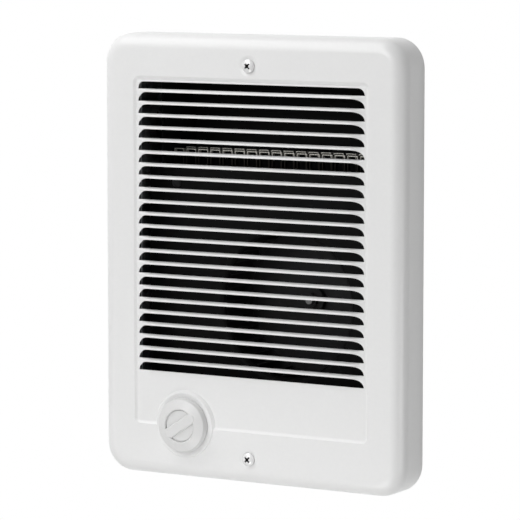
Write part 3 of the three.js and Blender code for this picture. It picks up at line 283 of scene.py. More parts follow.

# %% [markdown]
# ## The recess
# The louvres stand in a recess 1.2 mm deep. Its border is a soft step, and its corners are tight. It starts
# as a plane of the recess's outline: its corners are rounded, an inset with depth makes the step, and the
# step's inner edge is softened. Then the pan's front edge and the recess are bridged into one flat
# margin.

# %% Recess
recess_half = 90.6 * mm
recess_top = 124.1 * mm
recess_bottom = -114.6 * mm
recess_depth = 1.2 * mm
recess_step = 1.7 * mm
recess_corner = 4.2 * mm
recess_softness = 0.5 * mm
panel_y = front_y + recess_depth
recess_centre_z = (recess_top + recess_bottom) / 2
clear_selection()
bpy.ops.mesh.primitive_plane_add(size=1, location=(0, front_y, recess_centre_z), rotation=(math.pi / 2, 0, 0))
recess = new_piece("recess")
recess.scale = (2 * recess_half + recess_step, recess_top - recess_bottom + recess_step, 1)
place_in_mesh(recess)
open_edit(recess, "VERT")
bpy.ops.mesh.select_all(action="SELECT")
bpy.ops.mesh.bevel(offset=recess_corner, segments=corner_steps, affect="VERTICES", clamp_overlap=False)
bpy.ops.mesh.select_mode(type="FACE")
bpy.ops.mesh.select_all(action="SELECT")
bpy.ops.mesh.inset(thickness=recess_step, depth=-recess_depth)
bpy.ops.mesh.select_mode(type="EDGE")
inner = pick(recess, edges=lambda a, b: a.y > front_y + 1e-4 and b.y > front_y + 1e-4)
bpy.ops.mesh.bevel(offset=recess_softness, segments=3, affect="EDGES", clamp_overlap=False)
close_edit()
print("recess", len(recess.data.vertices), "points,", inner, "edges softened, floor at", round(panel_y, 5))

# %% [markdown]
# ## The louvre opening
# When two loops have equally many points, bridging them leaves clean faces, so the recess and the pan's
# front edge become one skin. Solidify gives the skin its thickness. Then a boolean cuts one tall opening,
# 176 mm wide, in the recess's floor, and the hoods will bridge it.

# %% Margin, sheet thickness and opening
slot_half = 88.2 * mm
slot_pitch = 8.457 * mm
slot_count = 24
first_base = 124.68 * mm
top_slot_trim = 2.74 * mm
opening_corner = 0.6 * mm
cutter_depth = 6 * mm
opening_top = first_base - top_slot_trim
opening_bottom = first_base - slot_count * slot_pitch
opening_centre_z = (opening_top + opening_bottom) / 2
join(pan, [recess])
open_edit(pan, "EDGE")
pick(pan, edges=lambda a, b: near(a.y, front_y) and near(b.y, front_y))
bpy.ops.mesh.bridge_edge_loops()
close_edit()
open_edit(pan)
bpy.ops.mesh.select_all(action="SELECT")
bpy.ops.mesh.normals_make_consistent(inside=False)
close_edit()
outer_faces = [face for face in pan.data.polygons if near(face.center.y, front_y, 1e-4)]
if outer_faces and sum(face.normal.y for face in outer_faces) > 0:
    open_edit(pan)
    bpy.ops.mesh.select_all(action="SELECT")
    bpy.ops.mesh.flip_normals()
    close_edit()
finish_with(pan, "SOLIDIFY", "sheet", thickness=sheet, offset=-1, use_even_offset=True)
clear_selection()
bpy.ops.mesh.primitive_cube_add(size=1, location=(0, panel_y, opening_centre_z))
cutter = new_piece("cutter")
cutter.scale = (2 * slot_half, cutter_depth, opening_top - opening_bottom)
place_in_mesh(cutter)
open_edit(cutter, "EDGE")
pick(cutter, edges=lambda a, b: abs(a.y - b.y) > 1e-4)
bpy.ops.mesh.bevel(offset=opening_corner, segments=4, affect="EDGES")
close_edit()
finish_with(pan, "BOOLEAN", "opening", object=cutter, operation="DIFFERENCE", solver="EXACT")
bpy.data.objects.remove(cutter)
print("pan and recess in one sheet:", triangles(pan), "triangles")

# %% [markdown]
# ## The louvre hoods
# Each slot's metal is drawn forward as a hood. Its lip stands 4.2 mm in front of the panel and droops a
# little, and both ends curve down to the slot's bottom corners, so that each slot looks like an eyebrow.
# A drawn sheet has no straight edges to push about by hand, so two grids take their points from one rule:
# how far the lip has turned at each station. The outer and the inner grid are bridged at their edge.

# %% Curve of a hood
hood_sheet = 0.6 * mm
hood_rim = 0.15 * mm
hood_taper = 6
hood_edge = 0.16 * mm
forward_curve = (0, 0.50, 0.95, 1)
drop_curve = (0, 0.08, 0.45, 1)


def bezier(a, b, c, d, t):
    s = 1 - t
    return a * s**3 + 3 * b * s * s * t + 3 * c * s * t * t + d * t**3


print("halfway down, a hood has come", round(bezier(*forward_curve, 0.5), 2), "of its way forward")

# %% One hood
def hood(name, base, droop, reach, end_run, bottom, end_steps=12, rows=8):
    stations = [(-1, 1 - step / end_steps) for step in range(end_steps + 1)]
    stations += [(1, step / end_steps) for step in range(end_steps + 1)]
    straight = slot_half + sheet / 2 - end_run
    lip = base - droop
    skins = []
    for inner in (0, 1):
        clear_selection()
        bpy.ops.mesh.primitive_grid_add(x_subdivisions=len(stations) - 1, y_subdivisions=rows - 1, size=1)
        skin = new_piece(name if inner == 0 else name + "_inner")
        for point in skin.data.vertices:
            column = round((point.co.x + 0.5) * (len(stations) - 1))
            row = round((point.co.y + 0.5) * (rows - 1))
            side, part = stations[column]
            turn = part * math.pi / 2
            sine, cosine = math.sin(turn), math.cos(turn)
            base_x = side * (straight + end_run * min(1, 2 * part))
            base_z = base - (base - bottom) * max(0, 2 * part - 1)
            lip_x = side * (straight + end_run * sine)
            lip_z = bottom + (lip - bottom) * cosine
            base_y = panel_y + (sheet - hood_rim if inner else hood_rim)
            lip_y = panel_y - hood_rim - (reach - hood_rim) * cosine ** hood_taper
            t = row / (rows - 1)
            forward = bezier(*forward_curve, t)
            drop = bezier(*drop_curve, t)
            point.co = (
                base_x + (lip_x - base_x) * drop - inner * side * hood_sheet * sine,
                base_y + (lip_y - base_y) * forward,
                base_z + (lip_z - base_z) * drop - inner * hood_sheet * cosine,
            )
        skins.append(skin)
    piece = join(skins[0], skins[1:])
    open_edit(piece, "EDGE")
    bpy.ops.mesh.select_all(action="DESELECT")
    bpy.ops.mesh.select_non_manifold(extend=False, use_wire=False, use_boundary=True,
                                     use_multi_face=False, use_non_contiguous=False, use_verts=False)
    bpy.ops.mesh.bridge_edge_loops()
    close_edit()
    face_outwards(piece)
    finish_with(piece, "BEVEL", "edge", width=hood_edge, segments=2, limit_method="ANGLE",
                angle_limit=math.radians(50), use_clamp_overlap=True)
    return piece


print("a hood is two grids,", round(hood_sheet / mm, 2), "mm apart, bridged at their edge")

# %% All the hoods
hood_reach = 4.2 * mm
hood_droop = 1.45 * mm
hood_end_run = 10 * mm
top_droop = 0.3 * mm
top_end_run = 5.5 * mm
second_base = first_base - slot_pitch
top_base = opening_top + hood_rim
third_base = second_base - slot_pitch
top_hood = hood("top_hood", top_base, top_droop, recess_depth, top_end_run, second_base - hood_rim)
model_hood = hood("hood", second_base, hood_droop, hood_reach, hood_end_run, third_base - hood_rim)
print("one hood:", triangles(model_hood), "triangles")
hoods = [top_hood, model_hood]
for slot in range(2, slot_count):
    make_active(model_hood)
    bpy.ops.object.duplicate()
    copy = new_piece("hood_%02d" % slot)
    bpy.ops.transform.translate(value=(0, 0, -(slot - 1) * slot_pitch))
    place_in_mesh(copy)
    hoods.append(copy)
print(len(hoods), "hoods")

# %% [markdown]
# ## The knob's boss and the screw dimples
# Round the knob the panel is pressed forward into a low boss, 0.9 mm above the front, that interrupts the
# recess's border. Each screw sits in a small dimple. Both are turned pieces. The dimple needs a hole in the
# flat margin, which a boolean cuts.

# %% Boss
knob_x = (knob_low[0] + knob_high[0]) / 2
knob_z = (knob_low[2] + knob_high[2]) / 2
boss_radius = 23.3 * mm
boss_top = front_y - 0.9 * mm
boss_hole = 7.0 * mm
boss_draft = 1.5 * mm
boss_edge = 0.55 * mm
boss_flare = 0.7 * mm
boss_foot = 0.5 * mm
boss_profile = [(boss_hole, panel_y + sheet), (boss_hole, boss_top)]
boss_profile += arc((boss_radius - boss_draft, boss_top + boss_edge), boss_edge, -90, -35, 6)
boss_profile += arc((boss_radius + boss_flare, panel_y - boss_foot), boss_foot, 145, 90, 6)
boss_profile += [(boss_radius + boss_flare, panel_y + sheet), (boss_hole, panel_y + sheet)]
boss = turned_piece("boss", boss_profile, knob_x, knob_z, 96)
print("boss:", triangles(boss), "triangles")

# %% Dimples
dimple_radius = 7.4 * mm
dimple_hole = 2.3 * mm
dimple_slope = [(4.6, 0.45), (5.4, 0.40), (6.3, 0.14), (6.9, 0.02)]  # radius and depth, in mm
dimple_floor = front_y + dimple_slope[0][1] * mm
dimple_back = (dimple_slope[1][0] * mm, front_y + dimple_slope[1][1] * mm + sheet)
dimple_cut = 12 * mm
dimples = []
for name in ("grille_screw_top", "grille_screw_bottom"):
    low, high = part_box(name)
    screw_z = (low[2] + high[2]) / 2
    clear_selection()
    bpy.ops.mesh.primitive_cylinder_add(vertices=64, radius=dimple_radius, depth=dimple_cut,
                                        location=(0, front_y, screw_z), rotation=(math.pi / 2, 0, 0))
    cutter = new_piece("cutter")
    finish_with(pan, "BOOLEAN", "dimple", object=cutter, operation="DIFFERENCE", solver="EXACT")
    bpy.data.objects.remove(cutter)
    profile = [(dimple_hole, dimple_floor + sheet), (dimple_hole, dimple_floor)]
    profile += [(radius * mm, front_y + depth * mm) for radius, depth in dimple_slope]
    profile += [(dimple_radius, front_y), (dimple_radius, front_y + sheet), dimple_back]
    profile += [profile[0]]
    dimples.append(turned_piece("dimple", profile, 0, screw_z, 64))
print("dimples:", len(dimples), "at", round(dimple_radius / mm, 1), "mm radius")

# %% The grille's front in one piece
grille_front = join(pan, hoods + [boss] + dimples)
smooth(grille_front, 32)
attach(grille_front, "heater")
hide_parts("grille")
print("grille front:", triangles(grille_front), "triangles")

# %% [markdown]
# ## The knob
# The knob is a moulded disc with a domed rim and a shallow round dish with a fine groove at its edge. A
# raised bar lies across the dish for the fingers, and both its ends reach over the dish's edge. The disc is
# turned, and the bar is a cube whose ends and upper edges are rounded. Three short ribs mark the rim.

# %% The knob's disc
knob_radius = 18.8 * mm
knob_seat = knob_high[1]
knob_height = 6.6 * mm
knob_top = knob_seat - knob_height
dish_floor = knob_top + 1.4 * mm
dish_radius = 10.3 * mm
groove_floor = dish_floor + 0.7 * mm
groove_inner = 10.7 * mm
groove_outer = 11.1 * mm
softness = 0.1 * mm
rim_start = 11.9 * mm
rim_roll = 0.8 * mm
shoulder = 17.2 * mm
shoulder_drop = 2.1 * mm
shoulder_roll = 1.5 * mm
crown = (shoulder - 2.4 * mm, knob_top + 0.42 * shoulder_drop)
roll_centre = (shoulder - 0.4 * mm, knob_top + shoulder_drop + 1.2 * mm)
skirt = [(knob_radius - softness, knob_seat - 1.0 * mm), (knob_radius, knob_seat - 0.4 * mm)]
profile = [(0, dish_floor + softness), (dish_radius, dish_floor)]
profile += [(dish_radius + 2 * softness, dish_floor + softness)]
profile += [(groove_inner, groove_floor), (groove_outer, groove_floor)]
profile += [(groove_outer + softness, dish_floor - 2 * softness)]
profile += arc((rim_start + softness, knob_top + rim_roll), rim_roll, 188, 285, 7)
profile += [crown]
profile += arc(roll_centre, shoulder_roll, -62, -8, 7)
profile += skirt
profile += [(knob_radius - 2 * softness, knob_seat), (0, knob_seat)]
knob = turned_piece("knob", profile, knob_x, knob_z, 96)
print("knob's disc:", len(profile), "points in its profile")

# %% The knob's bar
bar_angle = math.radians(33)
bar_half = 3.7 * mm
bar_reach = 13.6 * mm
bar_top = knob_top - 0.15 * mm
bar_root = dish_floor + 1 * mm
bar_end_radius = 3.4 * mm
bar_softness = 1.0 * mm
clear_selection()
bpy.ops.mesh.primitive_cube_add(size=1, location=(0, (bar_top + bar_root) / 2, 0))
bar = new_piece("bar")
bar.scale = (2 * bar_reach, bar_root - bar_top, 2 * bar_half)
place_in_mesh(bar)
open_edit(bar, "EDGE")
pick(bar, edges=lambda a, b: abs(a.y - b.y) > 1e-4)
bpy.ops.mesh.bevel(offset=bar_end_radius, segments=10, affect="EDGES", clamp_overlap=False)
pick(bar, edges=lambda a, b: near(a.y, bar_top) and near(b.y, bar_top))
bpy.ops.mesh.bevel(offset=bar_softness, segments=5, affect="EDGES", clamp_overlap=False)
bpy.ops.mesh.select_all(action="SELECT")
bpy.ops.transform.rotate(value=bar_angle, orient_axis="Y", center_override=(0, 0, 0))
bpy.ops.transform.translate(value=(knob_x, 0, knob_z))
close_edit()
face_outwards(bar)
ends = [Vector((p.co.x - knob_x, 0, p.co.z - knob_z)) for p in bar.data.vertices]
print("bar's upper end on the right:", max(e.x * e.z for e in ends) > -min(e.x * e.z for e in ends))

# %% The rim's ribs
tick_turn = math.radians(156)
tick_size = (4.4 * mm, 0.9 * mm, 0.4 * mm)
tick_radius = 12.9 * mm
tick_pitch = 0.95 * mm
tick_sink = 0.12 * mm
tick_softness = 0.1 * mm
ticks = []
for number in (0, 1, 2):
    radius = tick_radius + tick_pitch * number
    fall = shoulder_drop * (radius - rim_start) / (shoulder - rim_start)
    clear_selection()
    bpy.ops.mesh.primitive_cube_add(size=1, location=(0, knob_top + fall + tick_sink, radius))
    tick = new_piece("tick")
    tick.scale = tick_size
    place_in_mesh(tick)
    open_edit(tick, "EDGE")
    bpy.ops.mesh.select_all(action="SELECT")
    bpy.ops.mesh.bevel(offset=tick_softness, segments=2, affect="EDGES")
    bpy.ops.mesh.select_all(action="SELECT")
    bpy.ops.transform.rotate(value=tick_turn, orient_axis="Y", center_override=(0, 0, 0))
    bpy.ops.transform.translate(value=(knob_x, 0, knob_z))
    close_edit()
    ticks.append(tick)
tick_middle = sum((p.co for p in ticks[0].data.vertices), Vector()) / len(ticks[0].data.vertices)
tick_place = [round((tick_middle.x - knob_x) / mm, 1), round((tick_middle.z - knob_z) / mm, 1)]
print("first rib at", tick_place, "mm from the knob's axis")

# %% The knob in one piece
knob = join(knob, [bar] + ticks)
smooth(knob, 40)
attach(knob, "control")
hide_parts("thermostat_knob")
print("knob:", triangles(knob), "triangles")

# %% [markdown]
# ## The grille's screws
# Two pan head screws with a cross recess hold the grille. The head is turned, and the cross is cut by a
# boolean with two thin bars and a cone, turned an eighth of a turn as in the photograph.

# %% Screws
head_curve = [(1.8, 0.06), (3.0, 0.30), (4.0, 0.85), (4.5, 1.4)]  # radius and depth under the top, in mm
head_radius = 4.62 * mm
shank_radius = 1.9 * mm
cross_size = (4.8 * mm, 2.2 * mm, 1.1 * mm)
cross_middle = 0.5 * mm
cone_point = 0.4 * mm
cone_mouth = 1.5 * mm
cone_length = 3.4 * mm
cone_middle = 1.0 * mm


def cut_from(piece, cutter):
    finish_with(piece, "BOOLEAN", "cross", object=cutter, operation="DIFFERENCE", solver="EXACT")
    bpy.data.objects.remove(cutter)


def grille_screw(name, node):
    low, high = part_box(node)
    z = (low[2] + high[2]) / 2
    seat = front_y + 0.25 * mm
    top = low[1]
    profile = [(0, top)] + [(radius * mm, top + depth * mm) for radius, depth in head_curve]
    profile += [(head_radius, seat - 0.2 * mm), (4.5 * mm, seat), (shank_radius, seat)]
    profile += [(shank_radius, high[1] - 1.5 * mm), (0.9 * mm, high[1]), (0, high[1])]
    screw = turned_piece(name, profile, 0, z, 48)
    for angle in (math.pi / 4, -math.pi / 4):
        clear_selection()
        bpy.ops.mesh.primitive_cube_add(size=1, location=(0, top + cross_middle, z), rotation=(0, angle, 0))
        cutter = new_piece("cutter")
        cutter.scale = cross_size
        place_in_mesh(cutter)
        cut_from(screw, cutter)
    clear_selection()
    bpy.ops.mesh.primitive_cone_add(vertices=24, radius1=cone_point, radius2=cone_mouth, depth=cone_length,
                                    location=(0, top + cone_middle, z), rotation=(math.pi / 2, 0, 0))
    cut_from(screw, new_piece("cutter"))
    smooth(screw, 30)
    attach(screw, "heater")
    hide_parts(node)
    return screw


screw_top = grille_screw("screw_top", "grille_screw_top")
screw_bottom = grille_screw("screw_bottom", "grille_screw_bottom")
print("screws:", triangles(screw_top), "triangles each")

# %% [markdown]
# ## Finishes
# Every finish is made of shader nodes that read Object coordinates, so a pattern stays on its piece when
# the piece moves. A finish mixes two close colours with a fine noise, lets the roughness follow a coarser
# noise, and raises the surface by about a hundredth to a tenth of a millimetre.

# %% Helpers for shader nodes
def node_at(tree, kind, x, y, **inputs):
    node = tree.nodes.new(kind)
    node.location = (x, y)
    for key, value in inputs.items():
        node.inputs[key.replace("_", " ")].default_value = value
    return node


def colour_mix(tree, factor, first, second, x, y):
    mix = tree.nodes.new("ShaderNodeMix")
    mix.data_type = "RGBA"
    mix.location = (x, y)
    mix.inputs[6].default_value = (*first, 1)
    mix.inputs[7].default_value = (*second, 1)
    tree.links.new(factor, mix.inputs[0])
    return mix.outputs[2]


def new_finish(name, metallic):
    material = bpy.data.materials.new(name)
    material.use_nodes = True
    tree = material.node_tree
    shader = tree.nodes["Principled BSDF"]
    shader.inputs["Metallic"].default_value = metallic
    place = tree.nodes.new("ShaderNodeTexCoord")
    place.location = (-1200, 0)
    return material, tree, shader, place.outputs["Object"]


def roughness_from(tree, shader, factor, low, high):
    span = node_at(tree, "ShaderNodeMapRange", -300, -200, To_Min=low, To_Max=high)
    tree.links.new(factor, span.inputs["Value"])
    tree.links.new(span.outputs["Result"], shader.inputs["Roughness"])


def raise_surface(tree, shader, height, distance, strength=1.0):
    bump = node_at(tree, "ShaderNodeBump", -300, -450, Strength=strength, Distance=distance)
    tree.links.new(height, bump.inputs["Height"])
    tree.links.new(bump.outputs["Normal"], shader.inputs["Normal"])


print("ready to mix colours, set roughness and raise a surface")

# %% Helper for speckled finishes
def speckled(name, first, second, grain, metallic, roughness, bump_grain, bump_height, shine=0.5):
    material, tree, shader, place = new_finish(name, metallic)
    shader.inputs["Specular IOR Level"].default_value = shine
    fine = node_at(tree, "ShaderNodeTexNoise", -800, 150, Scale=grain, Detail=4.0)
    coarse = node_at(tree, "ShaderNodeTexNoise", -800, -150, Scale=grain / 9, Detail=2.0)
    relief = node_at(tree, "ShaderNodeTexNoise", -800, -450, Scale=bump_grain, Detail=3.0)
    for texture in (fine, coarse, relief):
        tree.links.new(place, texture.inputs["Vector"])
    colour = colour_mix(tree, fine.outputs["Fac"], first, second, -500, 150)
    tree.links.new(colour, shader.inputs["Base Color"])
    roughness_from(tree, shader, coarse.outputs["Fac"], *roughness)
    raise_surface(tree, shader, relief.outputs["Fac"], bump_height)
    return material


print("a speckled finish has three noises: colour, roughness and relief")

# %% [markdown]
# White enamel is baked powder paint: almost even in colour, glossy, with a faint orange peel. Its roughness
# starts at 0.285, because a range that crossed 0.27 came out blotchy once the picture was denoised. Moulded
# plastic is a little duller. The heater plate is enamelled black against the heat, and its black is made
# darker than paint as painted shade; the duct and blower housing take the same black as painted shade.

# %% Painted and moulded finishes
enamel = speckled("grille_enamel", (0.80, 0.80, 0.80), (0.83, 0.83, 0.828), grain=420, metallic=0,
                  roughness=(0.285, 0.36), bump_grain=900, bump_height=0.012 * mm)
plastic = speckled("knob_plastic", (0.71, 0.71, 0.708), (0.74, 0.74, 0.738), grain=300, metallic=0,
                   roughness=(0.34, 0.42), bump_grain=1600, bump_height=0.008 * mm)
# Painted shade: this black is darker than real paint, so that the heater's inside looks as dark as it does in
# shade.
black = speckled("black_enamel", (0.002, 0.002, 0.0022), (0.005, 0.005, 0.0052), grain=260, metallic=0,
                 roughness=(0.5, 0.65), bump_grain=1200, bump_height=0.02 * mm, shine=0.08)
# Painted shade: a near-black steel for the blower wheel, its back plate, the hub nut and the duct screws,
# which lie in shade behind the grille.
steel_in_painted_shade = speckled("painted_shade_steel", (0.010, 0.010, 0.011), (0.020, 0.020, 0.021), grain=500, metallic=0,
                     roughness=(0.5, 0.65), bump_grain=1200, bump_height=0.02 * mm, shine=0.15)
green_paint = speckled("ground_green", (0.02, 0.16, 0.05), (0.03, 0.22, 0.07), grain=400, metallic=0,
                       roughness=(0.35, 0.5), bump_grain=900, bump_height=0.02 * mm)
phenolic = speckled("phenolic", (0.012, 0.009, 0.008), (0.03, 0.022, 0.018), grain=700, metallic=0,
                    roughness=(0.4, 0.55), bump_grain=1400, bump_height=0.02 * mm)
nylon = speckled("bobbin_nylon", (0.62, 0.59, 0.50), (0.70, 0.67, 0.58), grain=300, metallic=0,
                 roughness=(0.45, 0.55), bump_grain=900, bump_height=0.015 * mm)
ceramic = speckled("ceramic", (0.70, 0.67, 0.58), (0.80, 0.77, 0.69), grain=500, metallic=0,
                   roughness=(0.3, 0.6), bump_grain=1500, bump_height=0.03 * mm)
print("painted and moulded finishes: 8")

# %% [markdown]
# Metals reflect their surroundings, so their colour is that of their highlights. Plating is bright, the
# motor's steel is dull, and the sintered bearings are matt.

# %% Metal finishes
plated = speckled("plated_screws", (0.62, 0.63, 0.64), (0.76, 0.77, 0.78), grain=600, metallic=1,
                  roughness=(0.16, 0.26), bump_grain=1500, bump_height=0.01 * mm)
screw_white = speckled("screw_enamel", (0.74, 0.74, 0.74), (0.82, 0.82, 0.82), grain=700, metallic=0.15,
                       roughness=(0.16, 0.26), bump_grain=1500, bump_height=0.01 * mm)
# Painted shade: a near-black finish for the faces inside the screws' cross recesses.
recess_shade = speckled("recess_shade", (0.010, 0.010, 0.010), (0.030, 0.030, 0.030), grain=700, metallic=0,
                        roughness=(0.5, 0.6), bump_grain=1500, bump_height=0.01 * mm, shine=0.2)
steel = speckled("steel", (0.40, 0.41, 0.42), (0.52, 0.53, 0.54), grain=500, metallic=1,
                 roughness=(0.3, 0.45), bump_grain=1200, bump_height=0.02 * mm)
die_cast = speckled("die_cast", (0.42, 0.43, 0.45), (0.55, 0.56, 0.57), grain=350, metallic=1,
                    roughness=(0.42, 0.6), bump_grain=700, bump_height=0.05 * mm)
bronze = speckled("bronze", (0.42, 0.27, 0.12), (0.56, 0.38, 0.18), grain=900, metallic=1,
                  roughness=(0.4, 0.6), bump_grain=1800, bump_height=0.03 * mm)
shaft_steel = speckled("shaft_steel", (0.14, 0.14, 0.14), (0.22, 0.22, 0.22), grain=500, metallic=1,
                       roughness=(0.45, 0.6), bump_grain=1200, bump_height=0.02 * mm)
brass = speckled("brass", (0.60, 0.43, 0.16), (0.72, 0.53, 0.22), grain=500, metallic=1,
                 roughness=(0.29, 0.4), bump_grain=1200, bump_height=0.01 * mm)
print("metal finishes: 6, screw finishes: 2")

# %% [markdown]
# Galvanised sheet shows its zinc crystals as large flat flakes, each a slightly different grey. A Voronoi
# texture gives one value to each flake.

# %% Galvanised sheet
flake_warp = 0.012
flake_relief = 0.02 * mm


def galvanised_finish():
    material, tree, shader, place = new_finish("galvanised", 1)
    warp = node_at(tree, "ShaderNodeTexNoise", -1000, 200, Scale=90.0, Detail=2.0)
    mix = tree.nodes.new("ShaderNodeMix")
    mix.data_type = "VECTOR"
    mix.inputs[0].default_value = flake_warp
    tree.links.new(place, warp.inputs["Vector"])
    tree.links.new(place, mix.inputs[4])
    tree.links.new(warp.outputs["Color"], mix.inputs[5])
    flakes = node_at(tree, "ShaderNodeTexVoronoi", -800, 100, Scale=120.0)
    tree.links.new(mix.outputs[1], flakes.inputs["Vector"])
    value = node_at(tree, "ShaderNodeSeparateColor", -650, 100)
    tree.links.new(flakes.outputs["Color"], value.inputs[0])
    colour = colour_mix(tree, value.outputs[0], (0.42, 0.44, 0.46), (0.66, 0.68, 0.70), -500, 150)
    tree.links.new(colour, shader.inputs["Base Color"])
    roughness_from(tree, shader, value.outputs[1], 0.32, 0.52)
    raise_surface(tree, shader, value.outputs[2], flake_relief)
    return material


galvanised = galvanised_finish()
print("galvanised sheet with flakes")

# %% [markdown]
# The motor's core is a stack of thin sheets, so its sides show fine lines. The coil's wire lies in even
# turns. A wave texture gives both. Mica is flaky, and its layers show as lines.

# %% Layered finishes
def banded(name, dark, light, axis, bands, metallic, roughness, height):
    material, tree, shader, place = new_finish(name, metallic)
    wave = node_at(tree, "ShaderNodeTexWave", -800, 100, Scale=bands, Distortion=0.6, Detail=2.0)
    wave.bands_direction = axis
    grime = node_at(tree, "ShaderNodeTexNoise", -800, -200, Scale=180.0, Detail=3.0)
    for texture in (wave, grime):
        tree.links.new(place, texture.inputs["Vector"])
    colour = colour_mix(tree, wave.outputs["Fac"], dark, light, -500, 150)
    tree.links.new(colour, shader.inputs["Base Color"])
    roughness_from(tree, shader, grime.outputs["Fac"], *roughness)
    raise_surface(tree, shader, wave.outputs["Fac"], height)
    return material


laminations = banded("laminations", (0.10, 0.10, 0.11), (0.30, 0.31, 0.32), "Y", bands=320, metallic=1,
                     roughness=(0.4, 0.6), height=0.06 * mm)
coil_wire = banded("coil_wire", (0.22, 0.06, 0.02), (0.60, 0.22, 0.08), "Z", bands=420, metallic=1,
                   roughness=(0.29, 0.42), height=0.12 * mm)
mica = banded("mica", (0.16, 0.12, 0.07), (0.34, 0.28, 0.18), "Z", bands=500, metallic=0,
              roughness=(0.35, 0.6), height=0.03 * mm)
print("layered finishes: 3")

# %% [markdown]
# The heating ribbon is folded to and fro. Its upper folds are painted bright, a painted highlight, and the
# legs below are painted near black, a painted shade. The height on the piece drives the change from one to
# the other.

# %% Heating ribbon
painted_light_from = 4 * mm  # below the folds' top
painted_light_full = 2 * mm


def ribbon_finish(fold_top):
    material, tree, shader, place = new_finish("heating_ribbon", 1)
    wave = node_at(tree, "ShaderNodeTexWave", -1000, 100, Scale=160.0, Distortion=0.6, Detail=2.0)
    grime = node_at(tree, "ShaderNodeTexNoise", -1000, -200, Scale=180.0, Detail=3.0)
    split = tree.nodes.new("ShaderNodeSeparateXYZ")
    for texture in (wave, grime, split):
        tree.links.new(place, texture.inputs["Vector"])
    # Painted light and shade: the folds' top takes a bright metal colour and the legs below a near-black one.
    height = node_at(tree, "ShaderNodeMapRange", -800, -50,
                     From_Min=fold_top - painted_light_from, From_Max=fold_top - painted_light_full)
    tree.links.new(split.outputs["Z"], height.inputs["Value"])
    bright = colour_mix(tree, wave.outputs["Fac"], (0.40, 0.39, 0.36), (0.64, 0.62, 0.57), -700, 150)
    colour = tree.nodes.new("ShaderNodeMix")
    colour.data_type = "RGBA"
    colour.inputs[6].default_value = (0.022, 0.020, 0.018, 1)
    tree.links.new(height.outputs["Result"], colour.inputs[0])
    tree.links.new(bright, colour.inputs[7])
    tree.links.new(colour.outputs[2], shader.inputs["Base Color"])
    roughness_from(tree, shader, grime.outputs["Fac"], 0.35, 0.55)
    raise_surface(tree, shader, wave.outputs["Fac"], 0.02 * mm)
    return material


ribbon_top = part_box("element_ribbon_front")[1][2]
ribbon_metal = ribbon_finish(ribbon_top)
print("ribbon's folds end at", round(ribbon_top, 4))

# %% [markdown]
# ## Dressing every piece
# The record gives each node a material slot. Each slot has one finish, and the new pieces take the finish
# of the slot that they were given.

# %% Finishes on pieces
finishes = {
    "grille_enamel": enamel, "knob_plastic": plastic, "black_enamel": black, "galvanised": galvanised,
    "plated_screws": plated, "steel": steel, "laminations": laminations, "coil_wire": coil_wire,
    "bobbin_nylon": nylon, "die_cast": die_cast, "bronze": bronze, "brass": brass,
    "heating_ribbon": ribbon_metal, "mica": mica, "ceramic": ceramic, "phenolic": phenolic,
    "ground_green": green_paint,
}


def dress(piece, finish):
    if not piece.material_slots:
        piece.data.materials.append(finish)
    for slot in piece.material_slots:
        slot.material = finish


slots = {entry["node"]: entry["material_slot"] for entry in frame["record"]["subparts"]}
for name, piece in frame["nodes"].items():
    dress(piece, finishes[slots[name]])
# Painted shade: the duct and the blower housing take the black enamel for the dark inside the heater.
for name in ("outlet_duct", "blower_housing"):
    dress(frame["nodes"][name], black)
# Painted shade: the wheel, its back plate, the hub nut and the duct screws take the near-black steel.
for name in ("blower_wheel", "wheel_back_plate", "hub_nut", "duct_screw_left", "duct_screw_right"):
    dress(frame["nodes"][name], steel_in_painted_shade)
dress(frame["nodes"]["motor_shaft"], shaft_steel)
dress(grille_front, enamel)
dress(knob, plastic)
print("dressed", len(frame["nodes"]), "nodes and the new grille and knob")

# %% [markdown]
# The two screws are white like the grille. The faces inside their cross recesses take a dark finish, a
# painted shade.

# %% Finishes on the screws
recess_reach = 1.7 * mm
recess_from = 0.22 * mm  # under the head's top
recess_to = 3.2 * mm
for screw in (screw_top, screw_bottom):
    dress(screw, screw_white)
    screw.data.materials.append(recess_shade)
    low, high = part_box(screw.name.replace("screw", "grille_screw"))
    screw_z = (low[2] + high[2]) / 2
    inside = 0
    for face in screw.data.polygons:
        across = math.hypot(face.center.x, face.center.z - screw_z)
        deep = low[1] + recess_from < face.center.y < low[1] + recess_to
        if across < recess_reach and deep:
            face.material_index = 1
            inside += 1
    print(screw.name, inside, "faces of the cross recess shaded")
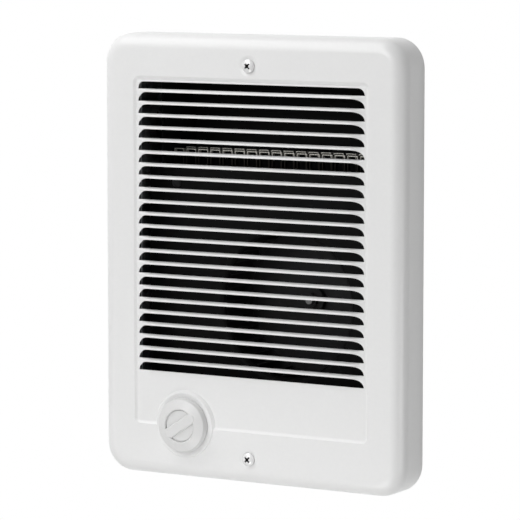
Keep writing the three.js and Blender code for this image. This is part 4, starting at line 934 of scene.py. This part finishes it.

# %% [markdown]
# ## The room
# The heater is set into a wall, which hides its can from the front. The wall is a white board with an
# opening for the can. It shows its white only from the front, so that a camera behind it sees the can. The
# opening's sides are painted dark as shade, but the can's own metal doesn't mirror them. Small patches of
# painted shade lie over the can's nail holes, so that no light shows through. Beside the can, behind the
# grille's sides, the board lies in shadow, so two dark strips cover its white there. A pale floor lies below.

# %% Helper for the room's finishes
def stage_finish(name, colour, glow, one_sided, clear_in_metal=False):
    material = bpy.data.materials.new(name)
    material.use_nodes = True
    tree = material.node_tree
    tree.nodes.clear()
    out = tree.nodes.new("ShaderNodeOutputMaterial")
    diffuse = node_at(tree, "ShaderNodeBsdfDiffuse", -600, 0, Color=(*colour, 1))
    white = node_at(tree, "ShaderNodeEmission", -600, -150, Color=(1, 1, 1, 1), Strength=1.0)
    path = tree.nodes.new("ShaderNodeLightPath")
    seen = tree.nodes.new("ShaderNodeMath")
    seen.operation = "MAXIMUM"
    tree.links.new(path.outputs["Is Camera Ray"], seen.inputs[0])
    tree.links.new(path.outputs["Is Glossy Ray"], seen.inputs[1])
    share = tree.nodes.new("ShaderNodeMath")
    share.operation = "MULTIPLY"
    share.inputs[1].default_value = glow
    tree.links.new(seen.outputs[0], share.inputs[0])
    mix = tree.nodes.new("ShaderNodeMixShader")
    tree.links.new(share.outputs[0], mix.inputs[0])
    tree.links.new(diffuse.outputs[0], mix.inputs[1])
    tree.links.new(white.outputs[0], mix.inputs[2])
    last = mix.outputs[0]
    if one_sided:
        clear = tree.nodes.new("ShaderNodeBsdfTransparent")
        geometry = tree.nodes.new("ShaderNodeNewGeometry")
        sides = tree.nodes.new("ShaderNodeMixShader")
        tree.links.new(geometry.outputs["Backfacing"], sides.inputs[0])
        tree.links.new(last, sides.inputs[1])
        tree.links.new(clear.outputs[0], sides.inputs[2])
        last = sides.outputs[0]
    if clear_in_metal:
        open_air = tree.nodes.new("ShaderNodeBsdfTransparent")
        mirrored = tree.nodes.new("ShaderNodeMixShader")
        tree.links.new(path.outputs["Is Glossy Ray"], mirrored.inputs[0])
        tree.links.new(last, mirrored.inputs[1])
        tree.links.new(open_air.outputs[0], mirrored.inputs[2])
        last = mirrored.outputs[0]
    tree.links.new(last, out.inputs["Surface"])
    return material


print("a wall shows white only to the camera and in reflections")

# %% Wall board
opening_gap = 2 * mm
board_size = (0.9, 0.8)
board_inset = 0.05
opening_half_x = (can_high[0] - can_low[0]) / 2 + opening_gap
opening_half_z = (can_high[2] - can_low[2]) / 2 + opening_gap
clear_selection()
bpy.ops.mesh.primitive_plane_add(size=1, location=(0, wall_y, 0), rotation=(math.pi / 2, 0, 0))
wall = new_piece("wall_board")
wall.scale = (*board_size, 1)
place_in_mesh(wall)
open_edit(wall)
bpy.ops.mesh.select_all(action="SELECT")
bpy.ops.mesh.inset(thickness=board_inset)
mesh = bmesh.from_edit_mesh(wall.data)
for point in mesh.verts:
    if abs(point.co.x) < board_size[0] / 2 - board_inset / 2:
        point.co.x = math.copysign(opening_half_x, point.co.x)
        point.co.z = math.copysign(opening_half_z, point.co.z)
bmesh.update_edit_mesh(wall.data)
pick(wall, faces=lambda c, n: abs(c.x) < 0.01 and abs(c.z) < 0.01)
bpy.ops.mesh.delete(type="FACE")
close_edit()
dress(wall, stage_finish("wall_white", (0.55, 0.55, 0.55), glow=1.0, one_sided=True))
print("wall opening", round(2 * opening_half_x, 4), "by", round(2 * opening_half_z, 4))

# %% Sides of the opening
clear_selection()
bpy.ops.mesh.primitive_cube_add(size=1, location=(0, (wall_y + can_high[1]) / 2, 0))
reveal = new_piece("wall_reveal")
reveal.scale = (2 * opening_half_x, can_high[1] - wall_y, 2 * opening_half_z)
place_in_mesh(reveal)
open_edit(reveal)
pick(reveal, faces=lambda c, n: abs(n.y) > 0.9)
bpy.ops.mesh.delete(type="FACE")
bpy.ops.mesh.select_all(action="SELECT")
bpy.ops.mesh.flip_normals()
close_edit()
# Painted shade: the opening's sides are near black, for the shade inside the wall.
dress(reveal, stage_finish("reveal_painted_shade", (0.03, 0.03, 0.03), glow=0.0, one_sided=True, clear_in_metal=True))
print("opening", round(can_high[1] - wall_y, 4), "deep")

# %% Shaded strips
strip_middle = 111.5 * mm
strip_lift = 0.15 * mm
strip_size = (9.4 * mm, 260 * mm)
shades = []
for side in (-1, 1):
    clear_selection()
    bpy.ops.mesh.primitive_plane_add(size=1, rotation=(math.pi / 2, 0, 0),
                                     location=(side * strip_middle, wall_y - strip_lift, grille_centre_z))
    shade = new_piece("wall_shade")
    shade.scale = (*strip_size, 1)
    place_in_mesh(shade)
    shades.append(shade)
shade = join(shades[0], shades[1:])
dress(shade, stage_finish("shade_grey", (0.05, 0.05, 0.05), glow=0.0, one_sided=True))
print(len(shades), "strips behind the grille's sides")

# %% Patches over the nail holes
nail_y = wall_y + 22 * mm
nail_z = 95 * mm
patch_radius = 3.4 * mm
patch_gap = 0.2 * mm  # outside the can's side
patches = []
for side in (-1, 1):
    for end in (-1, 1):
        clear_selection()
        bpy.ops.mesh.primitive_circle_add(vertices=24, radius=patch_radius, fill_type="NGON",
                                          location=(side * (can_high[0] + patch_gap), nail_y, end * nail_z),
                                          rotation=(0, math.pi / 2, 0))
        patch = new_piece("nail_hole_patch")
        place_in_mesh(patch)
        patches.append(patch)
patch = join(patches[0], patches[1:])
# Painted shade: the patches are near black, for the dark behind the nail holes.
dress(patch, stage_finish("nail_patch_painted_shade", (0.01, 0.01, 0.01), glow=0.0, one_sided=False))
print(len(patches), "patches")

# %% Floor
floor_size = 6
floor_z = -0.6
clear_selection()
bpy.ops.mesh.primitive_plane_add(size=floor_size, location=(0, 0, floor_z))
floor = new_piece("floor")
dress(floor, stage_finish("floor_pale", (0.8, 0.8, 0.79), glow=0.55, one_sided=False))
print("floor at", floor_z)

# %% [markdown]
# ## Light
# A white room lights the heater a little from all round. The key lamp hangs above and to the left, close
# enough for the upper left of the grille to be its brightest part, and gives the louvre lips their edge. A
# wide lamp far in front fills the panel. Two weak ones stand for the light that comes back from a pale room:
# one at the right lifts the side, and one below lifts the bottom edge, as in the photograph.

# %% World
room_light = 0.14
world = bpy.data.worlds.new("white_room")
bpy.context.scene.world = world
world.use_nodes = True
tree = world.node_tree
tree.nodes.clear()
world_out = tree.nodes.new("ShaderNodeOutputWorld")
soft = node_at(tree, "ShaderNodeBackground", -400, 0, Color=(1, 1, 1, 1), Strength=room_light)
white = node_at(tree, "ShaderNodeBackground", -400, -150, Color=(1, 1, 1, 1), Strength=1.0)
path = tree.nodes.new("ShaderNodeLightPath")
either = tree.nodes.new("ShaderNodeMath")
either.operation = "MAXIMUM"
all_three = tree.nodes.new("ShaderNodeMath")
all_three.operation = "MAXIMUM"
mix = tree.nodes.new("ShaderNodeMixShader")
tree.links.new(path.outputs["Is Camera Ray"], either.inputs[0])
tree.links.new(path.outputs["Is Glossy Ray"], either.inputs[1])
tree.links.new(either.outputs[0], all_three.inputs[0])
tree.links.new(path.outputs["Is Transmission Ray"], all_three.inputs[1])
tree.links.new(all_three.outputs[0], mix.inputs[0])
tree.links.new(soft.outputs[0], mix.inputs[1])
tree.links.new(white.outputs[0], mix.inputs[2])
tree.links.new(mix.outputs[0], world_out.inputs["Surface"])
print("the room gives", room_light, "of white light, and looks white")

# %% Lamps
def soft_lamp(name, place, target, size, power):
    data = bpy.data.lights.new(name, "AREA")
    data.shape = "DISK"
    data.size = size
    data.energy = power
    lamp = bpy.data.objects.new(name, data)
    bpy.context.scene.collection.objects.link(lamp)
    lamp.location = place
    lamp.rotation_euler = (Vector(place) - Vector(target)).to_track_quat("Z", "Y").to_euler()
    return lamp


key = soft_lamp("key_lamp", (-0.52, -0.56, 0.98), (0, -0.13, 0), size=1.0, power=7.3)
front = soft_lamp("front_lamp", (-0.45, -2.0, 1.0), (0, -0.13, 0), size=1.2, power=17.8)
side_lamp = soft_lamp("side_lamp", (1.25, -0.55, -0.3), (0.1, -0.13, 0), size=0.5, power=2.4)
low_lamp = soft_lamp("low_lamp", (0, -0.58, -0.48), (0, -0.13, -0.15), size=0.3, power=1.0)
for lamp in (key, front, side_lamp, low_lamp):
    print(lamp.name, lamp.data.energy, "W")

# %% [markdown]
# ## Last look
# The picture keeps plain colours, so the view transform is Standard.

# %% View settings
bpy.context.scene.view_settings.view_transform = "Standard"
